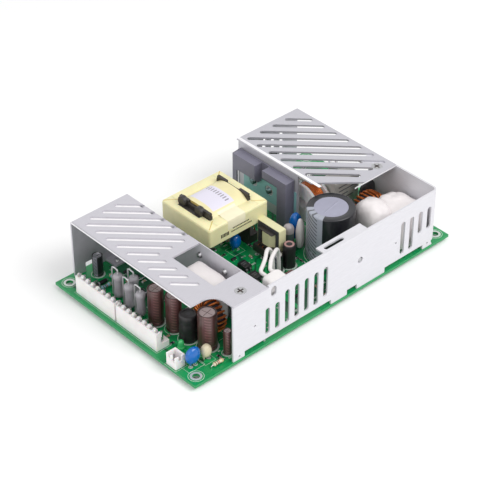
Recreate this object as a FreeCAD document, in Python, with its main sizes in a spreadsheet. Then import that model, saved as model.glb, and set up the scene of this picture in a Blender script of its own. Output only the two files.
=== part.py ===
import FreeCAD, Part
import math
import os
import re

import Sketcher

# Open frame power supply: a bare board with its parts under two folded aluminium heatsinks
# and beside an L shaped aluminium wall. All values are in millimetres.
# Places are measured from the board's corner: X from the output connector edge towards the
# mains end, Y from the long edge that carries the wall, Z from the board's underside.
# The finished pieces are shifted so that the origin is the centre of the mounting holes.

SIZES = {
    # Board and its four corner holes
    "board_length": 177.8,
    "board_width": 107.95,
    "board_thick": 1.6,
    "hole_inset": 5.08,
    "hole_radius": 2.0,
    # Folded sheet metal
    "metal_top": 36.0,
    "sheet_thick": 1.0,
    "bend_radius": 1.0,
    "leg_setback": 2.35,
    "metal_gap": 0.5,
    # Heatsink over the output side
    "front_near": 10.2,
    "front_length": 36.9,
    "notch_length": 14.5,
    "notch_width": 14.0,
    "notch_radius": 7.0,
    "window_near": 28.5,
    "window_right": 18.0,
    "window_width": 30.5,
    "front_slot_width": 2.5,
    "front_slot_step": 8.05,
    "front_slot_corner": 15.9,
    "front_slot_margin_near": 5.0,
    "front_slot_margin_far": 1.1,
    "front_slot_margin_side": 5.1,
    "front_slot_window_gap": 4.9,
    "front_slot_window_side": 6.9,
    "front_leg_notch_near": 7.0,
    "front_leg_notch_width": 5.5,
    "front_leg_notch_top": 7.2,
    "lining_thick": 0.4,
    "lining_margin": 1.0,
    # Heatsink over the mains side
    "rear_near": 122.6,
    "rear_right": 30.0,
    "rear_cut_length": 21.0,
    "rear_cut_width": 18.3,
    "rear_flange_right": 58.0,
    "rear_slot_width": 2.7,
    "rear_slot_step": 9.25,
    "rear_slot_corner": 17.1,
    "rear_slot_margin_near": 3.9,
    "rear_slot_margin_far": 3.1,
    "rear_slot_margin_side": 5.1,
    "rear_slot_margin_right": 6.6,
    "leg_slot_first": 6.4,
    "leg_slot_bottom": 9.0,
    # L shaped wall
    "wall_setback": 0.3,
    "wall_start": 24.7,
    "wall_end": 167.1,
    "wall_bottom": 4.6,
    "wall_corner": 3.0,
    "end_wall_left": 49.0,
    "vent_width": 3.0,
    "vent_pitch": 6.53,
    "vent_bottom": 7.0,
    "vent_top_low": 23.0,
    "vent_top": 27.3,
    "front_vent_first": 47.0,
    "rear_vent_first": 141.5,
    "rear_vent_short_bottom": 13.8,
    "vent_rise": 2.0,
    "keyhole_x": 51.0,
    "keyhole_bottom": 28.3,
    "keyhole_top": 34.2,
    "keyhole_width": 3.4,
    "dimple_radius": 0.6,
    "dimple_front_x": 38.8,
    "dimple_front_z": 16.5,
    "dimple_rear_x": 136.6,
    "foot_hole_inset": 4.0,
    "foot_hole_z": 3.4,
    "foot_near_width": 7.3,
    "foot_tab_near": 90.4,
    "foot_tab_width": 11.4,
    "foot_mid_near": 108.9,
    "foot_mid_width": 20.2,
    "foot_end_width": 7.3,
    "lip_near": 85.0,
    "lip_length": 30.6,
    "lip_reach": 6.4,
    "lip_slot_near": 87.8,
    "lip_slot_length": 13.2,
    "lip_slot_width": 2.4,
    "seat_reach": 10.2,
    "rear_seat_reach": 10.6,
    "seat_margin": 1.3,
    # Screws
    "tab_reach": 9.0,
    "tab_width": 8.0,
    "foot_screw_inset": 5.5,
    "foot_screw_radius": 1.3,
    "foot_screw_head_radius": 2.8,
    "foot_screw_head_high": 2.0,
    "screw_clearance": 0.2,
    "plate_screw_head": 3.0,
    "plate_screw_shank": 1.3,
    "plate_screw_length": 5.0,
    "plate_screw_recess": 0.5,
    "plate_screw_front_x": 35.5,
    "plate_screw_front_y": 7.1,
    "plate_screw_rear_x": 158.6,
    "plate_screw_rear_y": 36.1,
    # Dark insulating cover and clear film on the mains side flange
    "film_thick": 0.3,
    "film_bottom": 8.0,
    "film_top": 24.0,
    "cover_thick": 1.0,
    "film_far_margin": 6.1,
    "cover_top": 31.6,
    "cover_bar_bottom": 20.8,
    "cover_chamfer": 5.5,
    "cover_overhang": 2.0,
    "cover_leg_width": 3.4,
    "cover_column_width": 7.1,
    "cover_lip": 0.4,
    "cover_hood_deep": 5.0,
    "cover_right_hood_bottom": 24.0,
    "cover_left_hood_bottom": 19.4,
    "cover_hood_bevel": 2.6,
    "cover_right": 60.4,
    "cover_notch_far": 21.1,
    "cover_notch_width": 5.5,
    # Flat transistors and diodes with a screwed tab
    "package_width": 10.0,
    "package_thick": 4.5,
    "package_high": 9.2,
    "package_tab_thick": 1.3,
    "package_tab_high": 6.3,
    "package_hole_drop": 2.7,
    "package_hole_radius": 1.7,
    "package_leg_width": 0.8,
    "package_leg_thick": 0.5,
    "package_leg_pitch": 2.54,
    "package_screw_radius": 1.5,
    "package_screw_head": 2.7,
    "package_screw_head_high": 1.8,
    "package_screw_tip": 1.3,
    "rectifier_screw_z": 28.5,
    "power_screw_z": 15.1,
    "power_inset": 16.15,
    "power_pitch": 12.2,
    "wall_screw_z": 19.2,
    # Output headers: block, friction wall and square pins
    "header_x": 2.7,
    "header_deep": 8.0,
    "header_base_high": 3.6,
    "header_wall_thick": 1.6,
    "header_wall_high": 10.8,
    "header_tooth_drop": 1.4,
    "header_pitch": 3.96,
    "header_end": 1.6,
    "header_gap": 1.18,
    "header_b_y": 31.1,
    "header_rib": 0.9,
    "pin_side": 1.14,
    "pin_high": 9.6,
    "pin_clearance": 0.05,
    # Two pole signal header
    "signal_x": 0.6,
    "signal_y": 14.5,
    "signal_deep": 5.8,
    "signal_width": 7.0,
    "signal_high": 7.2,
    "signal_shell": 0.9,
    "signal_floor": 1.6,
    "signal_pitch": 2.5,
    "signal_pin": 0.64,
    "signal_pin_high": 5.8,
    "signal_key_width": 1.9,
    "signal_key_drop": 3.0,
    # Mains input header
    "input_inset": 9.4,
    "input_y": 62.0,
    # Electrolytic cans
    "can_bung": 0.5,
    "can_edge": 0.5,
    "can_rim": 0.7,
    "can_rim_drop": 0.25,
    "output_can_radius": 4.1,
    "output_can_high": 21.4,
    "large_can_radius": 4.9,
    "large_can_high": 21.4,
    "left_can_radius": 2.8,
    "left_can_inset": 9.45,
    "left_can_high": 12.4,
    "slim_can_radius": 2.1,
    "slim_can_high": 14.2,
    "standby_can_radius": 3.1,
    "standby_can_high": 10.4,
    "bulk_can_radius": 12.75,
    "bulk_can_high": 30.0,
    "bulk_can_rim": 3.0,
    "bulk_can_rim_drop": 0.5,
    # Upright resistors with a bent over lead
    "resistor_radius": 2.6,
    "resistor_high": 14.0,
    "resistor_stand": 1.0,
    "resistor_edge": 0.9,
    "resistor_waist": 0.2,
    "lead_radius": 0.4,
    "resistor_lead_reach": 4.5,
    # Heat shrunk and hollow cored chokes
    "sleeve_choke_radius": 4.6,
    "sleeve_choke_high": 16.0,
    "sleeve_choke_round": 2.6,
    "hollow_choke_radius": 3.4,
    "hollow_choke_high": 14.0,
    "hollow_choke_bore": 1.1,
    "hollow_choke_bevel": 0.6,
    # Disc capacitors and thermistors
    "disc_thick": 3.4,
    "disc_lead_radius": 0.35,
    "disc_lead_pitch": 5.0,
    "front_disc_radius": 4.6,
    "front_disc_z": 8.2,
    "varistor_radius": 3.5,
    "varistor_thick": 2.6,
    "varistor_z": 7.3,
    "bridge_disc_radius": 3.9,
    "bridge_disc_z": 8.0,
    "blue_disc_radius": 4.6,
    "blue_disc_z": 15.5,
    "inrush_radius": 5.8,
    "inrush_thick": 4.4,
    "inrush_z": 18.0,
    # Indicator lamp
    "lamp_radius": 1.5,
    "lamp_flange_radius": 1.9,
    "lamp_flange_high": 1.0,
    "lamp_high": 5.2,
    # Grey dipped capacitor and red film capacitor
    "dipped_radius": 3.0,
    "dipped_high": 15.4,
    "red_length": 7.2,
    "red_width": 5.0,
    "red_high": 10.0,
    "x_length": 18.0,
    "x_width": 10.0,
    "x_high": 23.4,
    "x_edge": 0.8,
    # Main transformer
    "core_length": 39.3,
    "core_width": 36.0,
    "core_high": 10.9,
    "core_middle": 24.25,
    "core_back": 5.6,
    "core_leg": 5.2,
    "core_corner": 1.2,
    "core_post_radius": 5.2,
    "tape_thick": 0.6,
    "tape_over": 0.3,
    "bobbin_gap": 0.3,
    "bobbin_wall": 1.0,
    "flange_thick": 1.6,
    "flange_width": 24.4,
    "flange_rise": 2.4,
    "flange_lug_width": 7.0,
    "flange_lug_rise": 1.5,
    "rail_deep": 6.0,
    "rail_high": 5.0,
    "winding_width": 24.0,
    "winding_high": 15.4,
    "winding_crown": 1.6,
    # Standby transformer
    "standby_core_thick": 5.0,
    "standby_core_width": 15.8,
    "standby_core_bottom": 5.2,
    "standby_core_high": 14.8,
    "standby_core_bar": 2.9,
    "standby_core_leg": 2.6,
    "standby_post_radius": 2.2,
    "standby_flange_deep": 12.4,
    "standby_flange_thick": 1.2,
    "standby_base_high": 3.0,
    "standby_winding_radius": 4.3,
    # Output choke: upright ring with turns
    "output_ring_radius": 8.2,
    "output_ring_bore": 4.6,
    "output_ring_thick": 5.2,
    # Mains filter choke: drum with pale flanges
    "filter_drum_radius": 11.0,
    "filter_drum_flange": 1.6,
    "filter_drum_length": 11.0,
    "filter_drum_bore": 4.0,
    "filter_winding_radius": 9.6,
    # Boost choke: upright ring with turns
    "boost_ring_radius": 9.8,
    "boost_ring_bore": 5.4,
    "boost_ring_thick": 7.0,
    "turn_radius": 0.6,
    "turn_gap": 0.15,
    "output_turns": 18,
    "boost_turns": 24,
    "ring_open_degrees": 50.0,
    # White adhesive
    "block_length": 7.0,
    "block_width": 24.0,
    "block_high": 26.0,
    "block_round": 2.5,
    "bead_radius": 2.3,
    "bead_high": 20.0,
    "corner_length": 18.0,
    "corner_width": 24.4,
    "corner_high": 24.0,
    "corner_round": 6.0,
    "lobe_length": 13.0,
    "lobe_width": 15.6,
    "lobe_high": 25.0,
    "lobe_round": 4.5,
    # Thermal switch in its white sleeve with two leads
    "switch_radius": 4.6,
    "switch_long": 12.0,
    "switch_bottom": 23.5,
    "switch_high": 11.5,
    "switch_round": 2.2,
    "switch_gap": 9.9,
    "switch_lead_radius": 1.0,
    # Fuse
    "fuse_radius": 2.6,
    "fuse_length": 20.0,
    "fuse_cap": 5.0,
    "fuse_cap_radius": 3.0,
    "fuse_z": 6.4,
    "fuse_inset": 22.95,
    # Bridge rectifier against the leg
    "bridge_length": 20.0,
    "bridge_thick": 3.4,
    "bridge_high": 15.0,
    "bridge_stand": 4.0,
    "bridge_inset": 5.55,
    "bridge_leg_pitch": 5.0,
    # Small parts lying on the board
    "chip_length": 9.6,
    "chip_width": 6.4,
    "chip_high": 3.3,
    "chip_stand": 0.5,
    "opto_length": 4.6,
    "chip_leg_width": 0.6,
    "axial_radius": 1.1,
    "axial_length": 6.2,
    "axial_lead": 1.6,
    "axial_stand": 0.3,
    # Solder joints below the board
    "joint_radius": 1.1,
    "joint_tip": 0.4,
    "joint_high": 1.1,
    "joint_pitch": 2.5,
}

# Places of the parts on the board: centre of each part as X, Y, tied by a formula to what carries it
PLACES = {
    "output_capacitor_1": (17.5, 49.0),
    "output_capacitor_2": (20.5, 39.0),
    "output_capacitor_3": (23.8, 17.9),
    "left_capacitor": (20.3, "board_width - left_can_inset"),
    "slim_capacitor": (27.5, 7.6),
    "standby_capacitor": (89.9, 38.9),
    "bulk_capacitor": (119.8, 30.7),
    "resistor_1": (16.0, 76.4),
    "resistor_2": (14.7, 66.3),
    "resistor_3": (15.0, 57.6),
    "resistor_4": (20.6, 69.6),
    "sleeved_choke": (20.8, 28.6),
    "hollow_choke": (97.2, 37.7),
    "front_disc": (9.0, 11.8),
    "varistor": (16.8, 11.0),
    "indicator_lamp": (13.3, 25.5),
    "bridge_disc": (85.4, 65.9),
    "blue_disc": (113.7, 50.2),
    "inrush_thermistor": (159.0, 42.6),
    "dipped_capacitor": (107.0, 48.4),
    "red_capacitor": (84.6, 23.6),
    "x_capacitor": (151.2, 54.6),
    "transformer": (81.35, 77.0),
    "standby": (96.7, 50.3),
    "output_choke": (32.7, 26.0),
    "filter_choke": (135.3, 62.0),
    "boost_choke": (150.6, 33.6),
    "adhesive_block": (40.4, 35.6),
    "adhesive_bead": (111.3, 44.2),
    "adhesive_corner": (156.4, 15.8),
    "adhesive_lobe": (140.6, 20.6),
    "thermal_switch": ("front_near + front_length + switch_gap", 6.9),
    "fuse": (149.0, "board_width - fuse_inset"),
    "bridge_rectifier": (139.0, "board_width - bridge_inset"),
    "control_chip": (67.0, 50.6),
    "optocoupler_1": (78.0, 50.6),
    "optocoupler_2": (76.0, 40.4),
    "rectifier_1": (49.0, 48.5),
    "rectifier_2": (49.0, 29.8),
    "power_1": (126.0, "board_width - power_inset"),
    "power_2": (126.0, "board_width - power_inset - power_pitch"),
    "wall_diode": (110.6, 3.0),
}

# Small axial parts: centre X, centre Y, turned across the board or not
AXIALS = [(16.2, 90.6, 0), (16.2, 86.8, 0), (23.4, 89.6, 90), (26.8, 70.0, 90), (18.6, 4.4, 0),
          (57.6, 40.0, 90), (66.0, 41.4, 0), (109.4, 58.2, 0), (107.0, 66.0, 90), (111.5, 74.0, 90)]

# Route of each thermal switch lead: points in space, chosen by hand along the real lead
LEAD_ROUTES = [
    [(55.6, 8.8, 32.0), (55.6, 15.0, 32.0), (63.6, 20.0, 32.4), (72.0, 27.4, 31.4),
     (78.4, 30.6, 24.0), (79.6, 31.2, 12.0), (79.6, 31.2, 1.6)],
    [(60.4, 8.8, 32.0), (60.4, 13.0, 32.0), (66.0, 18.4, 32.4), (74.6, 23.8, 31.2),
     (81.6, 29.6, 24.0), (84.0, 31.4, 12.0), (84.0, 31.4, 1.6)],
]

# Values that follow from others
TIES = {
    "header_a_y": "header_b_y + 7 * header_pitch + 2 * header_end + header_gap",
    "input_x": "board_length - input_inset",
}

for place, spot in PLACES.items():
    for axis, where in zip("xy", spot):
        (TIES if isinstance(where, str) else SIZES)["%s_%s" % (place, axis)] = where

doc = FreeCAD.newDocument("open_frame_power_supply")
sheet = doc.addObject("Spreadsheet::Sheet", "Sizes")
for row, (alias, value) in enumerate(SIZES.items(), start=1):
    sheet.set("A%d" % row, alias)
    sheet.set("B%d" % row, str(value))
    sheet.setAlias("B%d" % row, alias)
doc.recompute()

WORD = re.compile(r"[a-z_][a-z0-9_]*")
ORIGIN_X = "-board_length / 2"
ORIGIN_Y = "-board_width / 2"
UPRIGHT = FreeCAD.Rotation()
ALONG_X = FreeCAD.Rotation(FreeCAD.Vector(0, 1, 0), 90)
ALONG_Y = FreeCAD.Rotation(FreeCAD.Vector(1, 0, 0), -90)
nodes = []


def untie(text):
    """Put the formula of each tied value in place of its name."""
    return WORD.sub(lambda found: "(%s)" % TIES[found.group(0)] if found.group(0) in TIES
                    else found.group(0), str(text))


def link(text):
    """Turn a formula of size names into one that reads the sheet."""
    return WORD.sub(lambda found: "Sizes." + found.group(0) if found.group(0) in SIZES else found.group(0),
                    untie(text))


def value(text):
    """Work out a formula of size names as a number."""
    text = untie(text)
    for call, choose in (("max(", max), ("min(", min)):
        while call in text:
            start = text.rindex(call)
            depth = 0
            for end in range(start + 3, len(text)):
                depth += (text[end] == "(") - (text[end] == ")")
                if depth == 0:
                    break
            best = choose(value(part) for part in text[start + 4:end].split(";"))
            text = text[:start] + repr(best) + text[end + 1:]
    text = WORD.sub(lambda found: repr(float(sheet.get(found.group(0)))), text)
    return float(FreeCAD.Units.Quantity(text).Value)


def bind(thing, **settings):
    for key, formula in settings.items():
        thing.setExpression(key.replace("__", "."), link(formula))
    return thing


def at(thing, x, y, z, turn=UPRIGHT):
    """Place a thing by formulas, turned by a fixed rotation."""
    thing.Placement = FreeCAD.Placement(FreeCAD.Vector(), turn)
    for axis, formula in zip("xyz", (x, y, z)):
        thing.setExpression("Placement.Base." + axis, link(formula))
    return thing


def box(x, y, z, length, width, high):
    return at(bind(doc.addObject("Part::Box", "block"), Length=length, Width=width, Height=high), x, y, z)


def middle_box(x, y, z, length, width, high):
    """A box centred on x and y that stands on z."""
    return box("%s - (%s) / 2" % (x, length), "%s - (%s) / 2" % (y, width), z, length, width, high)


def rod(x, y, z, radius, length, turn=UPRIGHT):
    return at(bind(doc.addObject("Part::Cylinder", "rod"), Radius=radius, Height=length), x, y, z, turn)


def taper(x, y, z, low, top, length, turn=UPRIGHT):
    cone = bind(doc.addObject("Part::Cone", "taper"), Radius1=low, Radius2=top, Height=length)
    return at(cone, x, y, z, turn)


def join(*pieces):
    fused = doc.addObject("Part::MultiFuse", "joined")
    fused.Shapes = list(pieces)
    fused.Refine = True
    return fused


def group(*pieces):
    bundle = doc.addObject("Part::Compound", "group")
    bundle.Links = list(pieces)
    return bundle


def carve(base, *tools):
    result = doc.addObject("Part::Cut", "carved")
    result.Base = base
    result.Tool = tools[0] if len(tools) == 1 else group(*tools)
    result.Refine = True
    return result


def finish(label, thing):
    """Name a sub-part and shift it from the board's corner to the frame's origin."""
    thing.Label = label
    at(thing, ORIGIN_X, ORIGIN_Y, 0)
    nodes.append(thing)
    return thing


def new_body(label):
    body = doc.addObject("PartDesign::Body", label)
    return body


PLANES = {"X": ("YZ_Plane", 1), "Y": ("XZ_Plane", -1), "Z": ("XY_Plane", 1)}


def new_sketch(body, axis, level):
    """A sketch on the body's own plane across an axis, moved to a level along it."""
    role, sense = PLANES[axis]
    sketch = body.newObject("Sketcher::SketchObject", "outline")
    sketch.AttachmentSupport = [(next(p for p in body.Origin.OriginFeatures if p.Role == role), "")]
    sketch.MapMode = "FlatFace"
    sketch.setExpression("AttachmentOffset.Base.z", link("%d * (%s)" % (sense, level)))
    return sketch


def fix(sketch, kind, *where):
    """Add a dimension whose value is a formula of the sheet."""
    formula = where[-1]
    number = sketch.addConstraint(Sketcher.Constraint(kind, *where[:-1], value(formula)))
    sketch.setExpression("Constraints[%d]" % number, link(formula))


def fix_point(sketch, edge, end, point):
    fix(sketch, "DistanceX", -1, 1, edge, end, point[0])
    fix(sketch, "DistanceY", -1, 1, edge, end, point[1])


def draw_polygon(sketch, points):
    first = sketch.GeometryCount
    corners = [FreeCAD.Vector(value(x), value(y), 0) for x, y in points]
    count = len(points)
    for step in range(count):
        sketch.addGeometry(Part.LineSegment(corners[step], corners[(step + 1) % count]), False)
    for step in range(count):
        sketch.addConstraint(Sketcher.Constraint("Coincident", first + step, 2,
                                                 first + (step + 1) % count, 1))
        fix_point(sketch, first + step, 1, points[step])


def draw_rectangle(sketch, x0, y0, x1, y1):
    draw_polygon(sketch, [(x0, y0), (x1, y0), (x1, y1), (x0, y1)])


def draw_circle(sketch, x, y, radius):
    edge = sketch.addGeometry(Part.Circle(FreeCAD.Vector(value(x), value(y), 0),
                                          FreeCAD.Vector(0, 0, 1), value(radius)), False)
    fix_point(sketch, edge, 3, (x, y))
    fix(sketch, "Radius", edge, radius)


def draw_slot(sketch, start, end, width):
    """A slot with round ends between the centres of its two end arcs."""
    first = sketch.GeometryCount
    radius = value(width) / 2
    tail = FreeCAD.Vector(value(start[0]), value(start[1]), 0)
    head = FreeCAD.Vector(value(end[0]), value(end[1]), 0)
    heading = math.atan2(head.y - tail.y, head.x - tail.x)
    side = FreeCAD.Vector(-math.sin(heading), math.cos(heading), 0) * radius
    up = FreeCAD.Vector(0, 0, 1)
    quarter = math.pi / 2
    sketch.addGeometry(Part.ArcOfCircle(Part.Circle(tail, up, radius), heading + quarter,
                                        heading + 3 * quarter), False)
    sketch.addGeometry(Part.LineSegment(tail - side, head - side), False)
    sketch.addGeometry(Part.ArcOfCircle(Part.Circle(head, up, radius), heading - quarter,
                                        heading + quarter), False)
    sketch.addGeometry(Part.LineSegment(head + side, tail + side), False)
    for step in range(4):
        sketch.addConstraint(Sketcher.Constraint("Tangent", first + step, 2, first + (step + 1) % 4, 1))
    fix_point(sketch, first, 3, start)
    fix_point(sketch, first + 2, 3, end)
    fix(sketch, "Radius", first, "(%s) / 2" % width)
    fix(sketch, "Radius", first + 2, "(%s) / 2" % width)


def pad(body, axis, low, high, draw):
    """Material between two levels along an axis, with the outline that draw makes."""
    start = high if axis == "Y" else low
    sketch = new_sketch(body, axis, start)
    draw(sketch)
    feature = body.newObject("PartDesign::Pad", "pad")
    feature.Profile = sketch
    bind(feature, Length="(%s) - (%s)" % (high, low))
    doc.recompute()
    return feature


def pocket(body, axis, low, high, draw):
    """A cut between two levels along an axis, with the outline that draw makes."""
    start = low if axis == "Y" else high
    sketch = new_sketch(body, axis, start)
    draw(sketch)
    feature = body.newObject("PartDesign::Pocket", "pocket")
    feature.Profile = sketch
    bind(feature, Length="(%s) - (%s)" % (high, low))
    doc.recompute()
    return feature


def straight_edges(shape, test):
    """Names of the straight edges whose both ends pass the test."""
    names = []
    for number, edge in enumerate(shape.Edges, start=1):
        ends = [vertex.Point for vertex in edge.Vertexes]
        if len(ends) == 2 and edge.Curve.TypeId == "Part::GeomLine" and all(test(end) for end in ends):
            names.append("Edge%d" % number)
    return names


def round_edges(body, feature, radius, test):
    fillet = body.newObject("PartDesign::Fillet", "rounding")
    fillet.Base = (feature, straight_edges(feature.Shape, test))
    bind(fillet, Radius=radius)
    doc.recompute()
    return fillet


def near(number, formula):
    return abs(number - value(formula)) < 1e-4


def turned(label, x, y, z, profile):
    """A turned piece from its half profile of radius and height, standing at x, y, z."""
    body = new_body(label)
    sketch = new_sketch(body, "Y", "0")
    draw_polygon(sketch, profile)
    feature = body.newObject("PartDesign::Revolution", "turn")
    feature.Profile = sketch
    feature.ReferenceAxis = (sketch, ["V_Axis"])
    feature.Angle = 360
    at(body, x, y, z)
    return body


def finish_turned(label, x, y, z, profile):
    body = turned(label, "%s - board_length / 2" % x, "%s - board_width / 2" % y, z, profile)
    body.Label = label
    nodes.append(body)
    return body


# Board: one drilled plate with the corner holes and the holes of the foot screws
FAR_EDGE = "(board_width - leg_setback)"
FRONT_FAR = "(front_near + front_length)"
INNER_LEG = "(board_width - leg_setback - sheet_thick)"
WALL_INNER = "(wall_setback + sheet_thick)"
PLATE_UNDER = "(metal_top - sheet_thick)"
FOOT_SCREWS = [
    ("foot_mid_near + foot_mid_width - tab_width / 2 - 1.5", "foot_screw_inset"),
    ("wall_end - foot_end_width / 2 - sheet_thick - 0.9", "foot_screw_inset"),
    ("front_near + 24", FAR_EDGE + " - foot_screw_inset"),
    ("wall_end - 12", FAR_EDGE + " - foot_screw_inset"),
]


def make_board():
    body = new_body("board")
    pad(body, "Z", "0", "board_thick", lambda sketch: draw_rectangle(sketch, "0", "0", "board_length",
                                                                    "board_width"))

    def holes(sketch):
        for x in ("hole_inset", "board_length - hole_inset"):
            for y in ("hole_inset", "board_width - hole_inset"):
                draw_circle(sketch, x, y, "hole_radius")
        for x, y in FOOT_SCREWS:
            draw_circle(sketch, x, y, "foot_screw_radius + screw_clearance")

    pocket(body, "Z", "0", "board_thick", holes)
    finish("board", body)


def draw_front_slots(sketch):
    """Slots at 45 degrees, each kept off the plate's edges and off the window."""
    first = "(%s + %s - front_slot_corner)" % (FRONT_FAR, FAR_EDGE)
    count = int((value(first) - value("front_near + notch_width") - 16) / value("front_slot_step")) + 1
    for number in range(count):
        total = "(%s - %d * front_slot_step)" % (first, number)
        start_x = "max(front_near + front_slot_margin_near; %s - (%s - front_slot_margin_side))" % (
            total, FAR_EDGE)
        past_window = "max(window_near - front_slot_window_gap; %s - (window_right + window_width" \
            " + front_slot_window_side))" % total
        end_x = "min(%s - front_slot_margin_far; %s)" % (FRONT_FAR, past_window)
        draw_slot(sketch, (start_x, "%s - %s" % (total, start_x)),
                  (end_x, "%s - %s" % (total, end_x)), "front_slot_width")


def make_front_heatsink():
    """One folded sheet: slotted top, leg at the far long edge and flange on the inner side."""
    body = new_body("front_heatsink_blank")
    outline = [("front_near", "notch_width"), ("front_near", FAR_EDGE), (FRONT_FAR, FAR_EDGE),
               (FRONT_FAR, "0"), ("front_near + notch_length", "0"),
               ("front_near + notch_length", "notch_width - 0.4")]
    pad(body, "Z", PLATE_UNDER, "metal_top", lambda sketch: draw_polygon(sketch, outline))
    pad(body, "Y", INNER_LEG, FAR_EDGE, lambda sketch: draw_polygon(sketch, [
        ("front_near", "board_thick"),
        ("front_near + front_leg_notch_near", "board_thick"),
        ("front_near + front_leg_notch_near", "front_leg_notch_top"),
        ("front_near + front_leg_notch_near + front_leg_notch_width", "front_leg_notch_top"),
        ("front_near + front_leg_notch_near + front_leg_notch_width", "board_thick"),
        (FRONT_FAR + " - sheet_thick - metal_gap", "board_thick"),
        (FRONT_FAR + " - sheet_thick - metal_gap", "metal_top"),
        ("front_near", "metal_top")]))
    pad(body, "Z", "board_thick", "board_thick + sheet_thick", lambda sketch: draw_rectangle(
        sketch, "front_near + 24 - tab_width / 2", FAR_EDGE + " - tab_reach",
        "front_near + 24 + tab_width / 2", FAR_EDGE))
    flange = pad(body, "X", FRONT_FAR + " - sheet_thick", FRONT_FAR, lambda sketch: draw_rectangle(
        sketch, WALL_INNER + " + metal_gap", "board_thick", INNER_LEG + " - metal_gap", "metal_top"))
    folded = round_edges(body, flange, "bend_radius - 0.01", lambda end: near(end.z, "metal_top")
                         and (near(end.y, FAR_EDGE) or near(end.x, FRONT_FAR)))
    round_edges(body, folded, "notch_radius", lambda end: near(end.x, "front_near + notch_length")
                and near(end.y, "notch_width - 0.4"))
    pocket(body, "Z", PLATE_UNDER, "metal_top", draw_front_slots)
    pocket(body, "Z", PLATE_UNDER, "metal_top", lambda sketch: draw_rectangle(
        sketch, "window_near", "window_right", FRONT_FAR + " - sheet_thick - 0.1",
        "window_right + window_width"))
    pocket(body, "Z", "board_thick", "board_thick + sheet_thick", lambda sketch: draw_circle(
        sketch, *FOOT_SCREWS[2], "foot_screw_radius + screw_clearance"))

    def screw_holes(sketch):
        for name in ("rectifier_1", "rectifier_2"):
            draw_circle(sketch, name + "_y", "rectifier_screw_z", "package_hole_radius")

    pocket(body, "X", FRONT_FAR + " - sheet_thick", FRONT_FAR, screw_holes)
    finish("front_heatsink", carve(body, countersink("front")))


def countersink(end):
    """Cone and bore that a flush plate screw sits in."""
    x = "plate_screw_%s_x" % end
    y = "plate_screw_%s_y" % end
    return join(
        taper(x, y, PLATE_UNDER, "plate_screw_shank + screw_clearance",
              "plate_screw_head + screw_clearance / 2", "sheet_thick"),
        rod(x, y, "metal_top - plate_screw_length - 1", "plate_screw_shank + screw_clearance",
            "plate_screw_length + 1"))


def make_lining():
    """Thin pale insulating sheet under the slotted top, open at the window."""
    sheet_body = box("front_near + lining_margin", "notch_width + lining_margin",
                     PLATE_UNDER + " - lining_thick",
                     "front_length - sheet_thick - 2 * lining_margin",
                     INNER_LEG + " - notch_width - 2 * lining_margin", "lining_thick")
    opening = box("window_near - 0.5", "window_right - 0.5", PLATE_UNDER + " - 2 * lining_thick",
                  "front_length", "window_width + 1", "3 * lining_thick")
    finish("heatsink_lining", carve(sheet_body, opening))


def draw_rear_slots(sketch):
    first = "(wall_end + %s - rear_slot_corner)" % FAR_EDGE
    last = value("rear_near + rear_cut_length + rear_right + 7.5")
    count = int((value(first) - last) / value("rear_slot_step")) + 1
    for number in range(count):
        total = "(%s - %d * rear_slot_step)" % (first, number)
        start_x = "max(rear_near + rear_slot_margin_near; %s - (%s - rear_slot_margin_side))" % (
            total, FAR_EDGE)
        end_x = "min(wall_end - rear_slot_margin_far; %s - (rear_right + rear_slot_margin_right))" % total
        draw_slot(sketch, (start_x, "%s - %s" % (total, start_x)),
                  (end_x, "%s - %s" % (total, end_x)), "rear_slot_width")


def make_rear_heatsink():
    """One folded sheet: slotted top with a cut corner, inner flange and slotted leg."""
    body = new_body("rear_heatsink_blank")
    outline = [("rear_near", FAR_EDGE), ("wall_end", FAR_EDGE), ("wall_end", "rear_right"),
               ("rear_near + rear_cut_length", "rear_right"), ("rear_near", "rear_right + rear_cut_width")]
    pad(body, "Z", PLATE_UNDER, "metal_top", lambda sketch: draw_polygon(sketch, outline))
    pad(body, "Y", INNER_LEG, FAR_EDGE, lambda sketch: draw_rectangle(
        sketch, "rear_near + sheet_thick + metal_gap", "board_thick", "wall_end", "metal_top"))
    pad(body, "Z", "board_thick", "board_thick + sheet_thick", lambda sketch: draw_rectangle(
        sketch, "wall_end - 12 - tab_width / 2", FAR_EDGE + " - tab_reach",
        "wall_end - 12 + tab_width / 2", FAR_EDGE))
    flange = pad(body, "X", "rear_near", "rear_near + sheet_thick", lambda sketch: draw_rectangle(
        sketch, "rear_flange_right", "board_thick", INNER_LEG + " - metal_gap", "metal_top"))
    round_edges(body, flange, "bend_radius - 0.01", lambda end: near(end.z, "metal_top")
                and (near(end.y, FAR_EDGE) or near(end.x, "rear_near")))
    pocket(body, "Z", PLATE_UNDER, "metal_top", draw_rear_slots)
    pocket(body, "Z", "board_thick", "board_thick + sheet_thick", lambda sketch: draw_circle(
        sketch, *FOOT_SCREWS[3], "foot_screw_radius + screw_clearance"))

    def leg_slots(sketch):
        for number in range(5):
            x = "rear_near + leg_slot_first + %d * vent_pitch" % number
            draw_slot(sketch, (x, "leg_slot_bottom + vent_width / 2"), (x, "vent_top - vent_width / 2"),
                      "vent_width")

    pocket(body, "Y", INNER_LEG, FAR_EDGE, leg_slots)

    def screw_holes(sketch):
        for name in ("power_1", "power_2"):
            draw_circle(sketch, name + "_y", "power_screw_z", "package_hole_radius")

    pocket(body, "X", "rear_near", "rear_near + sheet_thick", screw_holes)
    finish("rear_heatsink", carve(body, countersink("rear")))


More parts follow.
